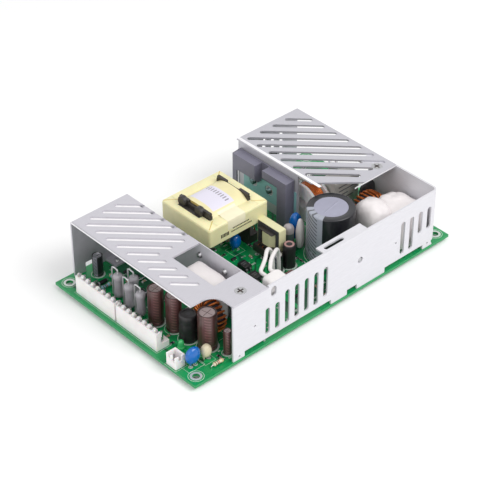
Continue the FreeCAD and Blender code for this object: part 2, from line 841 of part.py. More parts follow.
def draw_vents(sketch):
    """Upright slots of the long wall in two runs, and its keyhole."""
    for number in range(7):
        x = "front_vent_first + %d * vent_pitch" % number
        top = "vent_top_low" if number < 2 else "vent_top"
        bottom = "vent_bottom + vent_rise" if number == 6 else "vent_bottom"
        draw_slot(sketch, (x, bottom + " + vent_width / 2"), (x, top + " - vent_width / 2"), "vent_width")
    for number in range(4):
        x = "rear_vent_first + %d * vent_pitch" % number
        bottom = "vent_bottom" if number < 2 else "rear_vent_short_bottom"
        draw_slot(sketch, (x, bottom + " + vent_width / 2"), (x, "vent_top - vent_width / 2"), "vent_width")
    draw_slot(sketch, ("keyhole_x", "keyhole_bottom + keyhole_width / 2"),
              ("keyhole_x", "keyhole_top - keyhole_width / 2"), "keyhole_width")


def make_side_wall():
    """L shaped folded wall: long side with vents and feet, end wall, top lips and foot tabs."""
    body = new_body("side_wall_blank")
    outer = "wall_setback"
    inner = WALL_INNER
    end_inner = "wall_end - sheet_thick"
    plan = [("wall_start", outer), ("wall_end", outer), ("wall_end", "end_wall_left"),
            (end_inner, "end_wall_left"), (end_inner, inner), ("wall_start", inner)]
    bent = pad(body, "Z", "wall_bottom", "metal_top", lambda sketch: draw_polygon(sketch, plan))
    bent = round_edges(body, bent, "wall_corner", lambda end: near(end.x, "wall_end")
                       and near(end.y, outer))
    round_edges(body, bent, "wall_corner - sheet_thick", lambda end: near(end.x, end_inner)
                and near(end.y, inner))

    def feet(sketch):
        draw_rectangle(sketch, "wall_start", "board_thick", "wall_start + foot_near_width",
                       "wall_bottom + 0.5")
        draw_rectangle(sketch, "foot_tab_near", "board_thick", "foot_tab_near + foot_tab_width",
                       "wall_bottom + 0.5")
        draw_rectangle(sketch, "foot_mid_near", "board_thick", "foot_mid_near + foot_mid_width",
                       "wall_bottom + 0.5")
        draw_rectangle(sketch, "wall_end - 2.1 - foot_end_width", "board_thick", "wall_end - 2.1 - 0.9",
                       "wall_bottom + 0.5")

    pad(body, "Y", outer, inner, feet)

    def tabs(sketch):
        for x, y in FOOT_SCREWS[:2]:
            draw_rectangle(sketch, "%s - tab_width / 2 + 0.8" % x, outer, "%s + tab_width / 2 - 0.8" % x,
                           "tab_reach")

    pad(body, "Z", "board_thick", "board_thick + sheet_thick", tabs)
    pad(body, "Z", PLATE_UNDER, "metal_top", lambda sketch: draw_rectangle(
        sketch, "lip_near", outer, "lip_near + lip_length", outer + " + lip_reach"))
    pad(body, "Z", PLATE_UNDER + " - sheet_thick", PLATE_UNDER, lambda sketch: draw_rectangle(
        sketch, "wall_start + seat_margin", outer, FRONT_FAR + " - sheet_thick - seat_margin",
        outer + " + seat_reach"))
    pad(body, "Z", PLATE_UNDER + " - sheet_thick", PLATE_UNDER, lambda sketch: draw_rectangle(
        sketch, "wall_end - rear_seat_reach", "rear_right + seat_margin", "wall_end",
        "end_wall_left - seat_margin"))

    def clear_plates(sketch):
        draw_rectangle(sketch, "wall_start - 1", outer + " - 1", FRONT_FAR + " + metal_gap",
                       inner + " + 1")
        draw_rectangle(sketch, "wall_end - 2 * sheet_thick", "rear_right - metal_gap", "wall_end + 1",
                       "end_wall_left + 1")

    pocket(body, "Z", PLATE_UNDER, "metal_top", clear_plates)
    pocket(body, "Y", outer, inner, draw_vents)

    def small_holes(sketch):
        draw_circle(sketch, "dimple_front_x", "dimple_front_z", "dimple_radius")
        draw_circle(sketch, "dimple_rear_x", "dimple_front_z", "dimple_radius")
        draw_circle(sketch, "wall_start + foot_hole_inset", "foot_hole_z", "dimple_radius")
        draw_circle(sketch, "wall_end - foot_hole_inset - 1.9", "foot_hole_z + 0.8", "dimple_radius")
        draw_circle(sketch, "wall_diode_x", "wall_screw_z", "package_hole_radius")

    pocket(body, "Y", outer, inner, small_holes)
    pocket(body, "Z", PLATE_UNDER, "metal_top", lambda sketch: draw_slot(
        sketch, ("lip_slot_near + lip_slot_width / 2", outer + " + 3.2"),
        ("lip_slot_near + lip_slot_length - lip_slot_width / 2", outer + " + 3.2"), "lip_slot_width"))

    def tab_holes(sketch):
        for x, y in FOOT_SCREWS[:2]:
            draw_circle(sketch, x, y, "foot_screw_radius + screw_clearance")

    pocket(body, "Z", "board_thick", "board_thick + sheet_thick", tab_holes)
    bores = [rod("plate_screw_%s_x" % end, "plate_screw_%s_y" % end, "metal_top - plate_screw_length",
                 "plate_screw_shank + screw_clearance", "plate_screw_length") for end in ("front", "rear")]
    finish("side_wall", carve(body, *bores))


def make_plate_screws():
    """Flush cross head screws that hold the two tops to the wall."""
    screws = []
    for end in ("front", "rear"):
        x = "plate_screw_%s_x" % end
        y = "plate_screw_%s_y" % end
        blank = join(taper(x, y, PLATE_UNDER, "plate_screw_shank", "plate_screw_head", "sheet_thick"),
                     rod(x, y, "metal_top - plate_screw_length", "plate_screw_shank",
                         "plate_screw_length - sheet_thick"))
        arm = "plate_screw_head"
        blade = "plate_screw_recess"
        screws.append(carve(blank, middle_box(x, y, "metal_top - 0.8", arm, blade, "1"),
                            middle_box(x, y, "metal_top - 0.8", blade, arm, "1")))
    finish("plate_screws", group(*screws))


def make_board_screws():
    """Pan head screws from below, one through each foot tab."""
    screws = []
    for x, y in FOOT_SCREWS:
        screws.append(join(
            rod(x, y, "-foot_screw_head_high", "foot_screw_head_radius", "foot_screw_head_high"),
            rod(x, y, "-0.1", "foot_screw_radius", "board_thick + sheet_thick + 1.1")))
    finish("board_screws", group(*screws))


def make_rear_cover():
    """Dark moulded cover: two hoods with a notch between them, thin leg and deep column, before the flange."""
    body = new_body("insulating_cover")
    back = "(rear_near - film_thick)"
    front = "(%s - cover_thick)" % back
    left = "(%s + cover_overhang - 0.05)" % FAR_EDGE
    column_far = "(cover_right + cover_column_width)"
    bar_column_far = "(%s + cover_lip)" % column_far
    hood_top = "(cover_top - cover_lip)"
    outline = [("cover_right", "board_thick"), (bar_column_far, "board_thick"),
               (bar_column_far, "cover_bar_bottom"),
               (left + " - cover_leg_width", "cover_bar_bottom"),
               (left + " - cover_leg_width", "board_thick"), (left, "board_thick"),
               (left, "cover_top - cover_chamfer"), (left + " - cover_chamfer", "cover_top"),
               ("cover_right", "cover_top")]
    pad(body, "X", front, back, lambda sketch: draw_polygon(sketch, outline))
    notch_far = "(%s - cover_notch_far)" % FAR_EDGE
    hood_front = "(%s - cover_hood_deep)" % front
    pad(body, "X", hood_front, front, lambda sketch: draw_rectangle(
        sketch, "cover_right + cover_lip", "board_thick", column_far, hood_top))
    hoods = ((column_far, "(%s - cover_notch_width)" % notch_far, "cover_right_hood_bottom"),
             (notch_far, "(%s - cover_chamfer - cover_lip)" % left, "cover_left_hood_bottom"))
    for near_end, far_end, bottom in hoods:
        profile = [(hood_front, hood_top), (hood_front, bottom + " + cover_hood_bevel"),
                   (hood_front + " + cover_hood_bevel", bottom), (front, bottom), (front, hood_top)]
        pad(body, "Y", near_end, far_end, lambda sketch: draw_polygon(sketch, profile))
    finish("insulating_cover", body)
    film = box(back, "rear_flange_right + 1", "film_bottom", "film_thick",
               FAR_EDGE + " - film_far_margin - rear_flange_right - 1", "film_top - film_bottom")
    hole = rod(back + " - 1", "power_1_y", "power_screw_z", "package_screw_head + 0.3", "film_thick + 2",
               ALONG_X)
    other = rod(back + " - 1", "power_2_y", "power_screw_z", "package_screw_head + 0.3", "film_thick + 2",
                ALONG_X)
    finish("insulating_film", carve(film, hole, other))


def make_package(label, face, sense, y, screw_z, legs_to="board_thick"):
    """Flat three leg package whose metal tab lies on a face across X; sense is its side."""
    top = "(%s + package_hole_drop)" % screw_z
    low = "(%s - package_tab_high - package_high)" % top
    middle = "%s + %s * package_tab_thick * 1.4" % (face, sense)

    def slab(thick, width, bottom, high, start="0"):
        if sense == "1":
            x = "%s + %s" % (face, start)
        else:
            x = "%s - %s - (%s)" % (face, start, thick)
        return box(x, "%s - (%s) / 2" % (y, width), bottom, thick, width, high)

    tab = carve(slab("package_tab_thick", "package_width", low + " + package_high - 0.5",
                     "package_tab_high + 0.5"),
                rod("%s - package_tab_thick * 2" % face, y, screw_z, "package_hole_radius",
                    "package_tab_thick * 4", ALONG_X))
    pieces = [tab, slab("package_thick", "package_width", low, "package_high")]
    for number in (-1, 0, 1):
        leg_y = "%s + %d * package_leg_pitch - package_leg_width / 2" % (y, number)
        pieces.append(box("%s - package_leg_thick / 2" % middle, leg_y, legs_to, "package_leg_thick",
                          "package_leg_width", "%s - %s + 0.5" % (low, legs_to)))
    finish(label, join(*pieces))


def make_wall_diode():
    """The same package with its tab on the inside of the long wall."""
    face = WALL_INNER
    x = "wall_diode_x"
    top = "(wall_screw_z + package_hole_drop)"
    low = "(%s - package_tab_high - package_high)" % top
    tab = carve(box(x + " - package_width / 2", face, low + " + package_high - 0.5", "package_width",
                    "package_tab_thick", "package_tab_high + 0.5"),
                rod(x, face + " - 1", "wall_screw_z", "package_hole_radius", "package_tab_thick + 2",
                    ALONG_Y))
    pieces = [tab, box(x + " - package_width / 2", face, low, "package_width", "package_thick",
                       "package_high")]
    for number in (-1, 0, 1):
        pieces.append(box("%s + %d * package_leg_pitch - package_leg_width / 2" % (x, number),
                          face + " + 1.6", "board_thick", "package_leg_width", "package_leg_thick",
                          low + " - board_thick + 0.5"))
    finish("wall_diode", join(*pieces))


def make_package_screws():
    """Pan head screws through the tabs; their tips show on the far side of the sheet."""
    screws = []

    def screw(x, y, z, turn, head_first, grip):
        """head_first tells on which end of the shank the head lies."""
        length = "(%s + package_screw_tip)" % grip
        along = {"x": (1, 0), "y": (0, 1)}[turn]
        spin = ALONG_X if turn == "x" else ALONG_Y
        head_shift = "-package_screw_head_high" if head_first else length
        shank = rod(x, y, z, "package_screw_radius", length, spin)
        head = rod("%s + %d * (%s)" % (x, along[0], head_shift), "%s + %d * (%s)" % (y, along[1], head_shift),
                   z, "package_screw_head", "package_screw_head_high", spin)
        return join(shank, head)

    grip = "(sheet_thick + package_tab_thick)"
    for name in ("rectifier_1", "rectifier_2"):
        screws.append(screw("%s - sheet_thick - package_screw_tip" % FRONT_FAR, name + "_y",
                            "rectifier_screw_z", "x", False, grip))
    for name in ("power_1", "power_2"):
        screws.append(screw("rear_near", name + "_y", "power_screw_z", "x", True, grip))
    screws.append(screw("wall_diode_x", "wall_setback + 0.2", "wall_screw_z", "y", False,
                        "(sheet_thick + package_tab_thick - 0.2 - package_screw_tip)"))
    finish("package_screws", group(*screws))


def header_pins(x, y, count):
    pins = []
    for number in range(count):
        pins.append(middle_box("%s + header_deep / 2 + 0.6" % x,
                               "%s + header_end + %d * header_pitch" % (y, number), "board_thick",
                               "pin_side", "pin_side", "pin_high"))
    return pins


def make_header(label, x, y, count, poles):
    """Block with a friction wall on the outer side, toothed along its top, and end ribs."""
    width = "(%d * header_pitch + 2 * header_end)" % (count - 1)
    pieces = [box(x, y, "board_thick", "header_deep", width, "header_base_high"),
              box(x, y, "board_thick", "header_wall_thick", width, "header_wall_high")]
    for number in range(count + 1):
        rib_y = "%s + header_end + (%d - 0.5) * header_pitch - header_rib / 2" % (y, number)
        if number == 0:
            rib_y = y
        if number == count:
            rib_y = "%s + %s - header_rib" % (y, width)
        pieces.append(box("%s + header_wall_thick - 0.1" % x, rib_y, "board_thick", "1.3", "header_rib",
                          "header_wall_high - header_tooth_drop"))
    tools = []
    for number in range(count):
        if number % poles:
            continue
        middle = "%s + header_end + %d * header_pitch" % (y, number)
        tools.append(middle_box("%s + header_deep / 2 + 0.6" % x, middle, "board_thick - 1",
                                "pin_side + 2 * pin_clearance", "pin_side + 2 * pin_clearance",
                                "header_base_high + 2"))
        tools.append(middle_box("%s + header_wall_thick" % x, middle,
                                "board_thick + header_wall_high - header_tooth_drop",
                                "header_wall_thick", "header_pitch * 0.45", "header_tooth_drop + 1"))
    finish(label, carve(join(*pieces), *tools))


def make_signal_header():
    """Open top shell with two pins and a keyed gap in its outer side."""
    shell = box("signal_x", "signal_y", "board_thick", "signal_deep", "signal_width", "signal_high")
    inside = box("signal_x + signal_shell", "signal_y + signal_shell", "board_thick + signal_floor",
                 "signal_deep - 2 * signal_shell", "signal_width - 2 * signal_shell", "signal_high")
    tools = [inside]
    for side in (-0.5, 0.5):
        middle = "signal_y + signal_width / 2 + %g * signal_pitch" % side
        tools.append(middle_box("signal_x + signal_deep / 2", middle, "board_thick - 1",
                                "signal_pin + 2 * pin_clearance", "signal_pin + 2 * pin_clearance",
                                "signal_floor + 2"))
    for side in (0.28, 0.72):
        tools.append(middle_box("signal_x", "signal_y + %g * signal_width" % side,
                                "board_thick + signal_high - signal_key_drop", "3 * signal_shell",
                                "signal_key_width", "signal_key_drop + 1"))
    tools.append(middle_box("signal_x + signal_deep / 2", "signal_y",
                            "board_thick + signal_high - signal_key_drop", "signal_key_width",
                            "3 * signal_shell", "signal_key_drop + 1"))
    finish("signal_header", carve(shell, *tools))


def make_header_pins():
    pins = header_pins("header_x", "header_a_y", 8) + header_pins("header_x", "header_b_y", 8)
    pins += header_pins("input_x", "input_y", 5)[::2]
    for side in (-0.5, 0.5):
        pins.append(middle_box("signal_x + signal_deep / 2",
                               "signal_y + signal_width / 2 + %g * signal_pitch" % side, "board_thick",
                               "signal_pin", "signal_pin", "signal_pin_high"))
    finish("header_pins", group(*pins))


def make_can(label, place, size, rim="can_rim", drop="can_rim_drop"):
    """Aluminium can in a sleeve: bung at the base, curled sleeve edge and sunk lid on top."""
    radius = size + "_radius"
    high = size + "_high"
    profile = [("0", "0"), (radius + " - 0.4", "0"), (radius + " - 0.4", "can_bung"),
               (radius, "can_bung + 0.4"), (radius, high + " - can_edge"),
               (radius + " - can_edge", high), ("%s - %s" % (radius, rim), high),
               ("%s - %s" % (radius, rim), "%s - %s" % (high, drop)), ("0", "%s - %s" % (high, drop))]
    finish_turned(label, place + "_x", place + "_y", "board_thick", profile)


def make_resistor(place):
    """Upright body with domed ends; its top lead bends over and runs down beside it."""
    x = place + "_x"
    y = place + "_y"
    foot = "board_thick + resistor_stand"
    shell = turned(place + "_shell", x, y, foot, [
        ("0", "0"), ("resistor_radius - resistor_edge", "0"), ("resistor_radius", "resistor_edge"),
        ("resistor_radius", "resistor_high * 0.2"),
        ("resistor_radius - resistor_waist", "resistor_high * 0.25"),
        ("resistor_radius - resistor_waist", "resistor_high * 0.75"),
        ("resistor_radius", "resistor_high * 0.8"), ("resistor_radius", "resistor_high - resistor_edge"),
        ("resistor_radius - resistor_edge", "resistor_high"), ("0", "resistor_high")])
    top = "(board_thick + resistor_stand + resistor_high)"
    arch = bind(doc.addObject("Part::Torus", "bend"), Radius1="resistor_lead_reach / 2",
                Radius2="lead_radius")
    arch.Angle3 = 180
    at(arch, x, y + " + resistor_lead_reach / 2", top + " + 0.4",
       FreeCAD.Rotation(FreeCAD.Vector(0, 1, 0), FreeCAD.Vector(0, 0, 1), FreeCAD.Vector(1, 0, 0), "ZXY"))
    pieces = [shell, rod(x, y, "board_thick", "lead_radius", "resistor_stand + 0.5"),
              rod(x, y, top + " - 0.5", "lead_radius", "0.9"), arch,
              rod(x, y + " + resistor_lead_reach", "board_thick", "lead_radius",
                  "resistor_stand + resistor_high + 0.4")]
    return join(*pieces)


def make_disc(label, place, radius, thick, middle_z, facing):
    """Dipped disc standing on two leads; facing is the heading of its flat side in degrees."""
    x = place + "_x"
    y = place + "_y"
    lens = bind(doc.addObject("Part::Ellipsoid", "disc"), Radius1="%s / 2" % thick, Radius2=radius,
                Radius3=radius)
    turn = FreeCAD.Rotation(FreeCAD.Vector(0, 0, 1), facing).multiply(ALONG_X)
    at(lens, x, y, middle_z, turn)
    pieces = [lens]
    across = math.radians(facing + 90)
    reach = min(value("disc_lead_pitch") / 2, value(radius) * 0.55)
    share = reach / value(radius)
    for side in (-1, 1):
        shift_x = "%s + %.5f * %s" % (x, side * share * math.cos(across), radius)
        shift_y = "%s + %.5f * %s" % (y, side * share * math.sin(across), radius)
        pieces.append(rod(shift_x, shift_y, "board_thick", "disc_lead_radius",
                          "%s - board_thick - %s * 0.6" % (middle_z, radius)))
    finish(label, join(*pieces))


def make_round_parts():
    finish_turned("sleeved_choke", "sleeved_choke_x", "sleeved_choke_y", "board_thick", [
        ("0", "0"), ("sleeve_choke_radius - 1.2", "0"), ("sleeve_choke_radius - 0.2", "2.2"),
        ("sleeve_choke_radius - 0.8", "4.6"), ("sleeve_choke_radius", "6.4"),
        ("sleeve_choke_radius", "sleeve_choke_high - sleeve_choke_round"),
        ("sleeve_choke_radius - sleeve_choke_round * 0.35", "sleeve_choke_high - sleeve_choke_round * 0.3"),
        ("sleeve_choke_radius - sleeve_choke_round", "sleeve_choke_high"), ("0", "sleeve_choke_high")])
    finish_turned("hollow_choke", "hollow_choke_x", "hollow_choke_y", "board_thick", [
        ("0", "0"), ("hollow_choke_radius - 0.4", "0"), ("hollow_choke_radius", "1"),
        ("hollow_choke_radius", "hollow_choke_high - hollow_choke_bevel"),
        ("hollow_choke_radius - hollow_choke_bevel", "hollow_choke_high"),
        ("hollow_choke_bore", "hollow_choke_high - hollow_choke_bevel * 2"),
        ("hollow_choke_bore", "hollow_choke_high - 4"), ("0", "hollow_choke_high - 4")])
    finish_turned("indicator_lamp", "indicator_lamp_x", "indicator_lamp_y", "board_thick", [
        ("0", "0"), ("lamp_flange_radius", "0"), ("lamp_flange_radius", "lamp_flange_high"),
        ("lamp_radius", "lamp_flange_high"), ("lamp_radius", "lamp_high - lamp_radius"),
        ("lamp_radius * 0.87", "lamp_high - lamp_radius * 0.5"),
        ("lamp_radius * 0.5", "lamp_high - lamp_radius * 0.13"), ("0", "lamp_high")])
    finish_turned("dipped_capacitor", "dipped_capacitor_x", "dipped_capacitor_y", "board_thick", [
        ("0", "0"), ("dipped_radius * 0.5", "0"), ("dipped_radius * 0.92", "3"), ("dipped_radius", "6"),
        ("dipped_radius", "dipped_high - dipped_radius"),
        ("dipped_radius * 0.87", "dipped_high - dipped_radius * 0.5"),
        ("dipped_radius * 0.5", "dipped_high - dipped_radius * 0.13"), ("0", "dipped_high")])


def make_box_capacitor(label, place, length, width, high, edge):
    """Moulded box with bevelled top edges."""
    body = new_body(label)
    x0 = "(%s_x - %s / 2)" % (place, length)
    x1 = "(%s_x + %s / 2)" % (place, length)
    y0 = "(%s_y - %s / 2)" % (place, width)
    y1 = "(%s_y + %s / 2)" % (place, width)
    block = pad(body, "Z", "board_thick", "board_thick + %s" % high, lambda sketch: draw_rectangle(
        sketch, x0, y0, x1, y1))
    round_edges(body, block, edge, lambda end: end.z > value("board_thick + %s" % high) - 1e-4)
    finish(label, body)


def make_transformer():
    """Flat ring core with a centre post, taped all round, and a bobbin that stands on two rails."""
    x = "transformer_x"
    y = "transformer_y"
    low = "(core_middle - core_high / 2)"
    blank = middle_box(x, y, low, "core_length", "core_width", "core_high")
    opening = middle_box(x, y, low + " - 1", "core_length - 2 * core_back", "core_width - 2 * core_leg",
                         "core_high + 2")
    post = rod("%s - core_length / 2 + 1" % x, y, "core_middle", "core_post_radius", "core_length - 2",
               ALONG_X)
    finish("transformer_core", join(carve(blank, opening), post))

    body = new_body("transformer_tape_blank")
    half_long = "(core_length / 2 + tape_thick + 0.05)"
    half_wide = "(core_width / 2 + tape_thick + 0.05)"
    shell = pad(body, "Z", low + " - tape_over", "core_middle + core_high / 2 + tape_over",
                lambda sketch: draw_rectangle(sketch, x + " - " + half_long, y + " - " + half_wide,
                                              x + " + " + half_long, y + " + " + half_wide))

    def at_corner(end):
        return near(abs(end.x - value(x)), half_long) and near(abs(end.y - value(y)), half_wide)

    round_edges(body, shell, "core_corner", at_corner)
    hollow = middle_box(x, y, low, "core_length + 0.1", "core_width + 0.1", "core_high")
    mouth = middle_box(x, y, low + " - 2", "core_length - 2 * core_back - 0.6",
                       "core_width - 2 * core_leg - 0.2", "core_high + 4")
    finish("transformer_tape", carve(body, hollow, mouth))

    bore = "(core_post_radius + bobbin_gap)"
    tube_radius = "(%s + bobbin_wall)" % bore
    half_window = "(core_length / 2 - core_back - bobbin_gap)"
    flange_low = "(core_middle - core_high / 2 - flange_rise)"
    pieces = [rod("%s - %s" % (x, half_window), y, "core_middle", tube_radius, "2 * " + half_window,
                  ALONG_X)]
    for side in (-1, 1):
        inside = "%s + %d * %s - %s" % (x, side, half_window, "flange_thick" if side > 0 else "0")
        pieces.append(box(inside, y + " - flange_width / 2", "board_thick + rail_high - 1", "flange_thick",
                          "flange_width", "core_middle + core_high / 2 + flange_rise - board_thick"
                          " - rail_high + 1"))
        for lug in (-1, 1):
            pieces.append(box(inside, "%s + %d * (flange_width / 2 - flange_lug_width / 2 - 0.4)"
                              " - flange_lug_width / 2" % (y, lug),
                              "core_middle + core_high / 2", "flange_thick", "flange_lug_width",
                              "flange_rise + flange_lug_rise"))
        pieces.append(box("%s + %d * (core_length / 2 - rail_deep / 2) - rail_deep / 2" % (x, side),
                          y + " - flange_width / 2", "board_thick", "rail_deep", "flange_width",
                          "rail_high"))
        pieces.append(box("%s + %d * (%s - flange_thick / 2) - flange_thick / 2" % (x, side, half_window),
                          y + " - flange_width / 2", "board_thick", "flange_thick", "flange_width",
                          flange_low + " - board_thick + 1"))
    finish("transformer_bobbin", carve(join(*pieces), rod(
        "%s - core_length" % x, y, "core_middle", bore, "2 * core_length", ALONG_X)))

    body = new_body("transformer_winding_blank")
    inner_x = "(%s - flange_thick - 0.05)" % half_window
    half_wide = "(winding_width / 2)"
    top = "(core_middle + winding_high / 2)"
    bottom = "(core_middle - winding_high / 2)"
    crown = "winding_crown"
    points = [(y + " - " + half_wide, bottom + " + 1.5"), (y + " - " + half_wide + " * 0.8", bottom),
              (y + " - " + half_wide + " * 0.4", "%s - %s * 0.8" % (bottom, crown)),
              (y + " + " + half_wide + " * 0.4", "%s - %s * 0.8" % (bottom, crown)),
              (y + " + " + half_wide + " * 0.8", bottom), (y + " + " + half_wide, bottom + " + 1.5"),
              (y + " + " + half_wide, top + " - 1.5"), (y + " + " + half_wide + " * 0.8", top),
              (y + " + " + half_wide + " * 0.4", "%s + %s * 0.8" % (top, crown)),
              (y, "%s + %s" % (top, crown)),
              (y + " - " + half_wide + " * 0.4", "%s + %s * 0.8" % (top, crown)),
              (y + " - " + half_wide + " * 0.8", top), (y + " - " + half_wide, top + " - 1.5")]
    pad(body, "X", "%s - %s" % (x, inner_x), "%s + %s" % (x, inner_x),
        lambda sketch: draw_polygon(sketch, points))
    finish("transformer_winding", carve(body, rod("%s - core_length" % x, y, "core_middle",
                                                  tube_radius + " + 0.1", "2 * core_length", ALONG_X)))


def make_standby():
    """Small upright transformer: taped ring core across the board, bobbin and winding."""
    x = "standby_x"
    y = "standby_y"
    low = "(board_thick + standby_core_bottom)"
    top = "(%s + standby_core_high)" % low
    window_low = "(%s + standby_core_bar)" % low
    window_high = "(standby_core_high - 2 * standby_core_bar)"
    window_wide = "(standby_core_width - 2 * standby_core_leg)"
    ring = carve(middle_box(x, y, low, "standby_core_thick", "standby_core_width", "standby_core_high"),
                 middle_box(x, y, window_low, "standby_core_thick + 2", window_wide, window_high))
    post = rod(x, y, low + " + 1", "standby_post_radius", "standby_core_high - 2")
    finish("standby_core", join(ring, post))

    tube_radius = "(standby_post_radius + 0.9)"
    flange_wide = "(%s - 0.4)" % window_wide
    pieces = [rod(x, y, window_low + " + 0.1", tube_radius, window_high + " - 0.2")]
    for level in (window_low + " + 0.1", window_low + " + %s - 0.1 - standby_flange_thick" % window_high):
        pieces.append(middle_box(x, y, level, "standby_flange_deep", flange_wide, "standby_flange_thick"))
    pieces.append(middle_box(x, y, "board_thick", "standby_flange_deep", "standby_core_width",
                             "standby_base_high"))
    for side in (-1, 1):
        pieces.append(middle_box("%s + %d * (standby_flange_deep / 2 - 0.8)" % (x, side), y,
                                 "board_thick", "1.6", flange_wide, window_low + " - board_thick + 0.6"))
    finish("standby_bobbin", carve(join(*pieces), rod(x, y, low, "standby_post_radius + 0.15",
                                                      "standby_core_high")))
    start = window_low + " + 0.1 + standby_flange_thick + 0.05"
    length = window_high + " - 0.3 - 2 * standby_flange_thick"
    finish("standby_winding", carve(rod(x, y, start, "standby_winding_radius", length),
                                    rod(x, y, start + " - 1", tube_radius + " + 0.1", length + " + 2")))


def make_ring_choke(name, place, turns, across_x):
    """Upright ring core with separate round turns; the lowest part of the ring stays bare."""
    radius = name + "_ring_radius"
    bore = name + "_ring_bore"
    thick = name + "_ring_thick"
    x = place + "_x"
    y = place + "_y"
    reach = "(turn_gap + 2 * turn_radius)"
    middle = "(board_thick + %s + %s)" % (radius, reach)
    spin = ALONG_X if across_x else ALONG_Y
    back = "%s / 2" % thick

    def ring(outer, inner, half):
        centre = ("%s - (%s)" % (x, half), y) if across_x else (x, "%s - (%s)" % (y, half))
        return carve(rod(*centre, middle, outer, "2 * (%s)" % half, spin),
                     rod(centre[0] + (" - 1" if across_x else ""), centre[1] + ("" if across_x else " - 1"),
                         middle, inner, "2 * (%s) + 2" % half, spin))

    finish(name + "_choke_core", ring(radius, bore, back))
    shell = ring("%s + %s" % (radius, reach), "%s - %s" % (bore, reach), "%s + %s" % (back, reach))
    hollow = ring(radius + " + turn_gap", bore + " - turn_gap", back + " + turn_gap")
    open_angle = float(sheet.get("ring_open_degrees"))
    step = (360.0 - open_angle) / turns
    cutters = [hollow]
    for number in range(turns + 1):
        angle = math.radians(-90 + open_angle / 2 + number * step)
        blade = bind(doc.addObject("Part::Box", "gap"), Length="%s * 2" % radius, Width="0.25",
                     Height="(%s) * 6" % thick)
        if across_x:
            turn = FreeCAD.Rotation(FreeCAD.Vector(0, math.cos(angle), math.sin(angle)),
                                    FreeCAD.Vector(0, -math.sin(angle), math.cos(angle)),
                                    FreeCAD.Vector(1, 0, 0), "XYZ")
            at(blade, "%s - (%s) * 3" % (x, thick), y, middle, turn)
        else:
            turn = FreeCAD.Rotation(FreeCAD.Vector(math.cos(angle), 0, math.sin(angle)),
                                    FreeCAD.Vector(math.sin(angle), 0, -math.cos(angle)),
                                    FreeCAD.Vector(0, 1, 0), "XYZ")
            at(blade, x, "%s - (%s) * 3" % (y, thick), middle, turn)
        cutters.append(blade)
    wedge = "%s * 0.7" % radius
    if across_x:
        cutters.append(middle_box(x, y, "board_thick - 3", "(%s) * 4" % thick, wedge, radius + " * 0.5 + 3"))
    else:
        cutters.append(middle_box(x, y, "board_thick - 3", wedge, "(%s) * 4" % thick, radius + " * 0.5 + 3"))
    finish(name + "_choke_winding", carve(shell, *cutters))


def make_filter_choke():
    """Drum on its side: pale flanges joined by a tube, with the winding between them."""
    x = "filter_choke_x"
    y = "filter_choke_y"
    middle = "(board_thick + filter_drum_radius)"
    start = "(%s - filter_drum_length / 2)" % x
    pieces = [rod(start, y, middle, "filter_drum_bore + 1", "filter_drum_length", ALONG_X)]
    for shift in ("0", "filter_drum_length - filter_drum_flange"):
        pieces.append(rod("%s + %s" % (start, shift), y, middle, "filter_drum_radius",
                          "filter_drum_flange", ALONG_X))
    pieces.append(box(start, y + " - filter_drum_bore", "board_thick", "filter_drum_length",
                      "2 * filter_drum_bore", "1"))
    bore = rod(start + " - 1", y, middle, "filter_drum_bore - 1", "filter_drum_length + 2", ALONG_X)
    finish("filter_choke_bobbin", carve(join(*pieces), bore))
    length = "filter_drum_length - 2 * filter_drum_flange - 0.1"
    from_x = start + " + filter_drum_flange + 0.05"
    coil = carve(rod(from_x, y, middle, "filter_winding_radius", length, ALONG_X),
                 rod(from_x + " - 1", y, middle, "filter_drum_bore + 1.1", length + " + 2", ALONG_X))
    finish("filter_choke_winding", coil)


def rounded_block(place, low, length, width, high, radius, swell):
    """Soft lump: a block with round edges and a crown on top."""
    x = place + "_x"
    y = place + "_y"
    body = new_body(place)
    block = pad(body, "Z", low, "%s + %s" % (low, high), lambda sketch: draw_rectangle(
        sketch, "%s - %s / 2" % (x, length), "%s - %s / 2" % (y, width), "%s + %s / 2" % (x, length),
        "%s + %s / 2" % (y, width)))
    round_edges(body, block, radius, lambda end: end.z > value(low) + 1e-4)
    return body


def make_adhesive():
    block = rounded_block("adhesive_block", "board_thick", "block_length", "block_width", "block_high",
                          "block_round", 1)
    corner = rounded_block("adhesive_corner", "board_thick", "corner_length", "corner_width",
                           "corner_high", "corner_round", 1)
    tab_x, tab_y = FOOT_SCREWS[1]
    room = middle_box(tab_x, tab_y, "0", "tab_width + 1", "2 * (tab_reach - foot_screw_inset) + 1",
                      "board_thick + sheet_thick + 1.6")
    corner = carve(corner, room)
    lobe = rounded_block("adhesive_lobe", "board_thick", "lobe_length", "lobe_width", "lobe_high",
                         "lobe_round", 1)
    bead = turned("adhesive_bead_body", "adhesive_bead_x", "adhesive_bead_y", "board_thick", [
        ("0", "0"), ("bead_radius", "0"), ("bead_radius", "bead_high - bead_radius"),
        ("bead_radius * 0.7", "bead_high - bead_radius * 0.3"), ("0", "bead_high")])
    finish("white_adhesive", group(block, corner, lobe, bead))


def make_thermal_switch():
    """White sleeved switch pressed against the wall at the keyhole."""
    body = new_body("thermal_switch")
    x = "thermal_switch_x"
    y0 = WALL_INNER
    block = pad(body, "Z", "switch_bottom", "switch_bottom + switch_high", lambda sketch: draw_rectangle(
        sketch, x + " - switch_long / 2", y0, x + " + switch_long / 2", y0 + " + 2 * switch_radius"))
    soft = straight_edges(block.Shape, lambda end: end.y > value(y0) + 1)
    fillet = body.newObject("PartDesign::Fillet", "rounding")
    fillet.Base = (block, soft)
    bind(fillet, Radius="switch_round")
    doc.recompute()
    finish("thermal_switch", body)


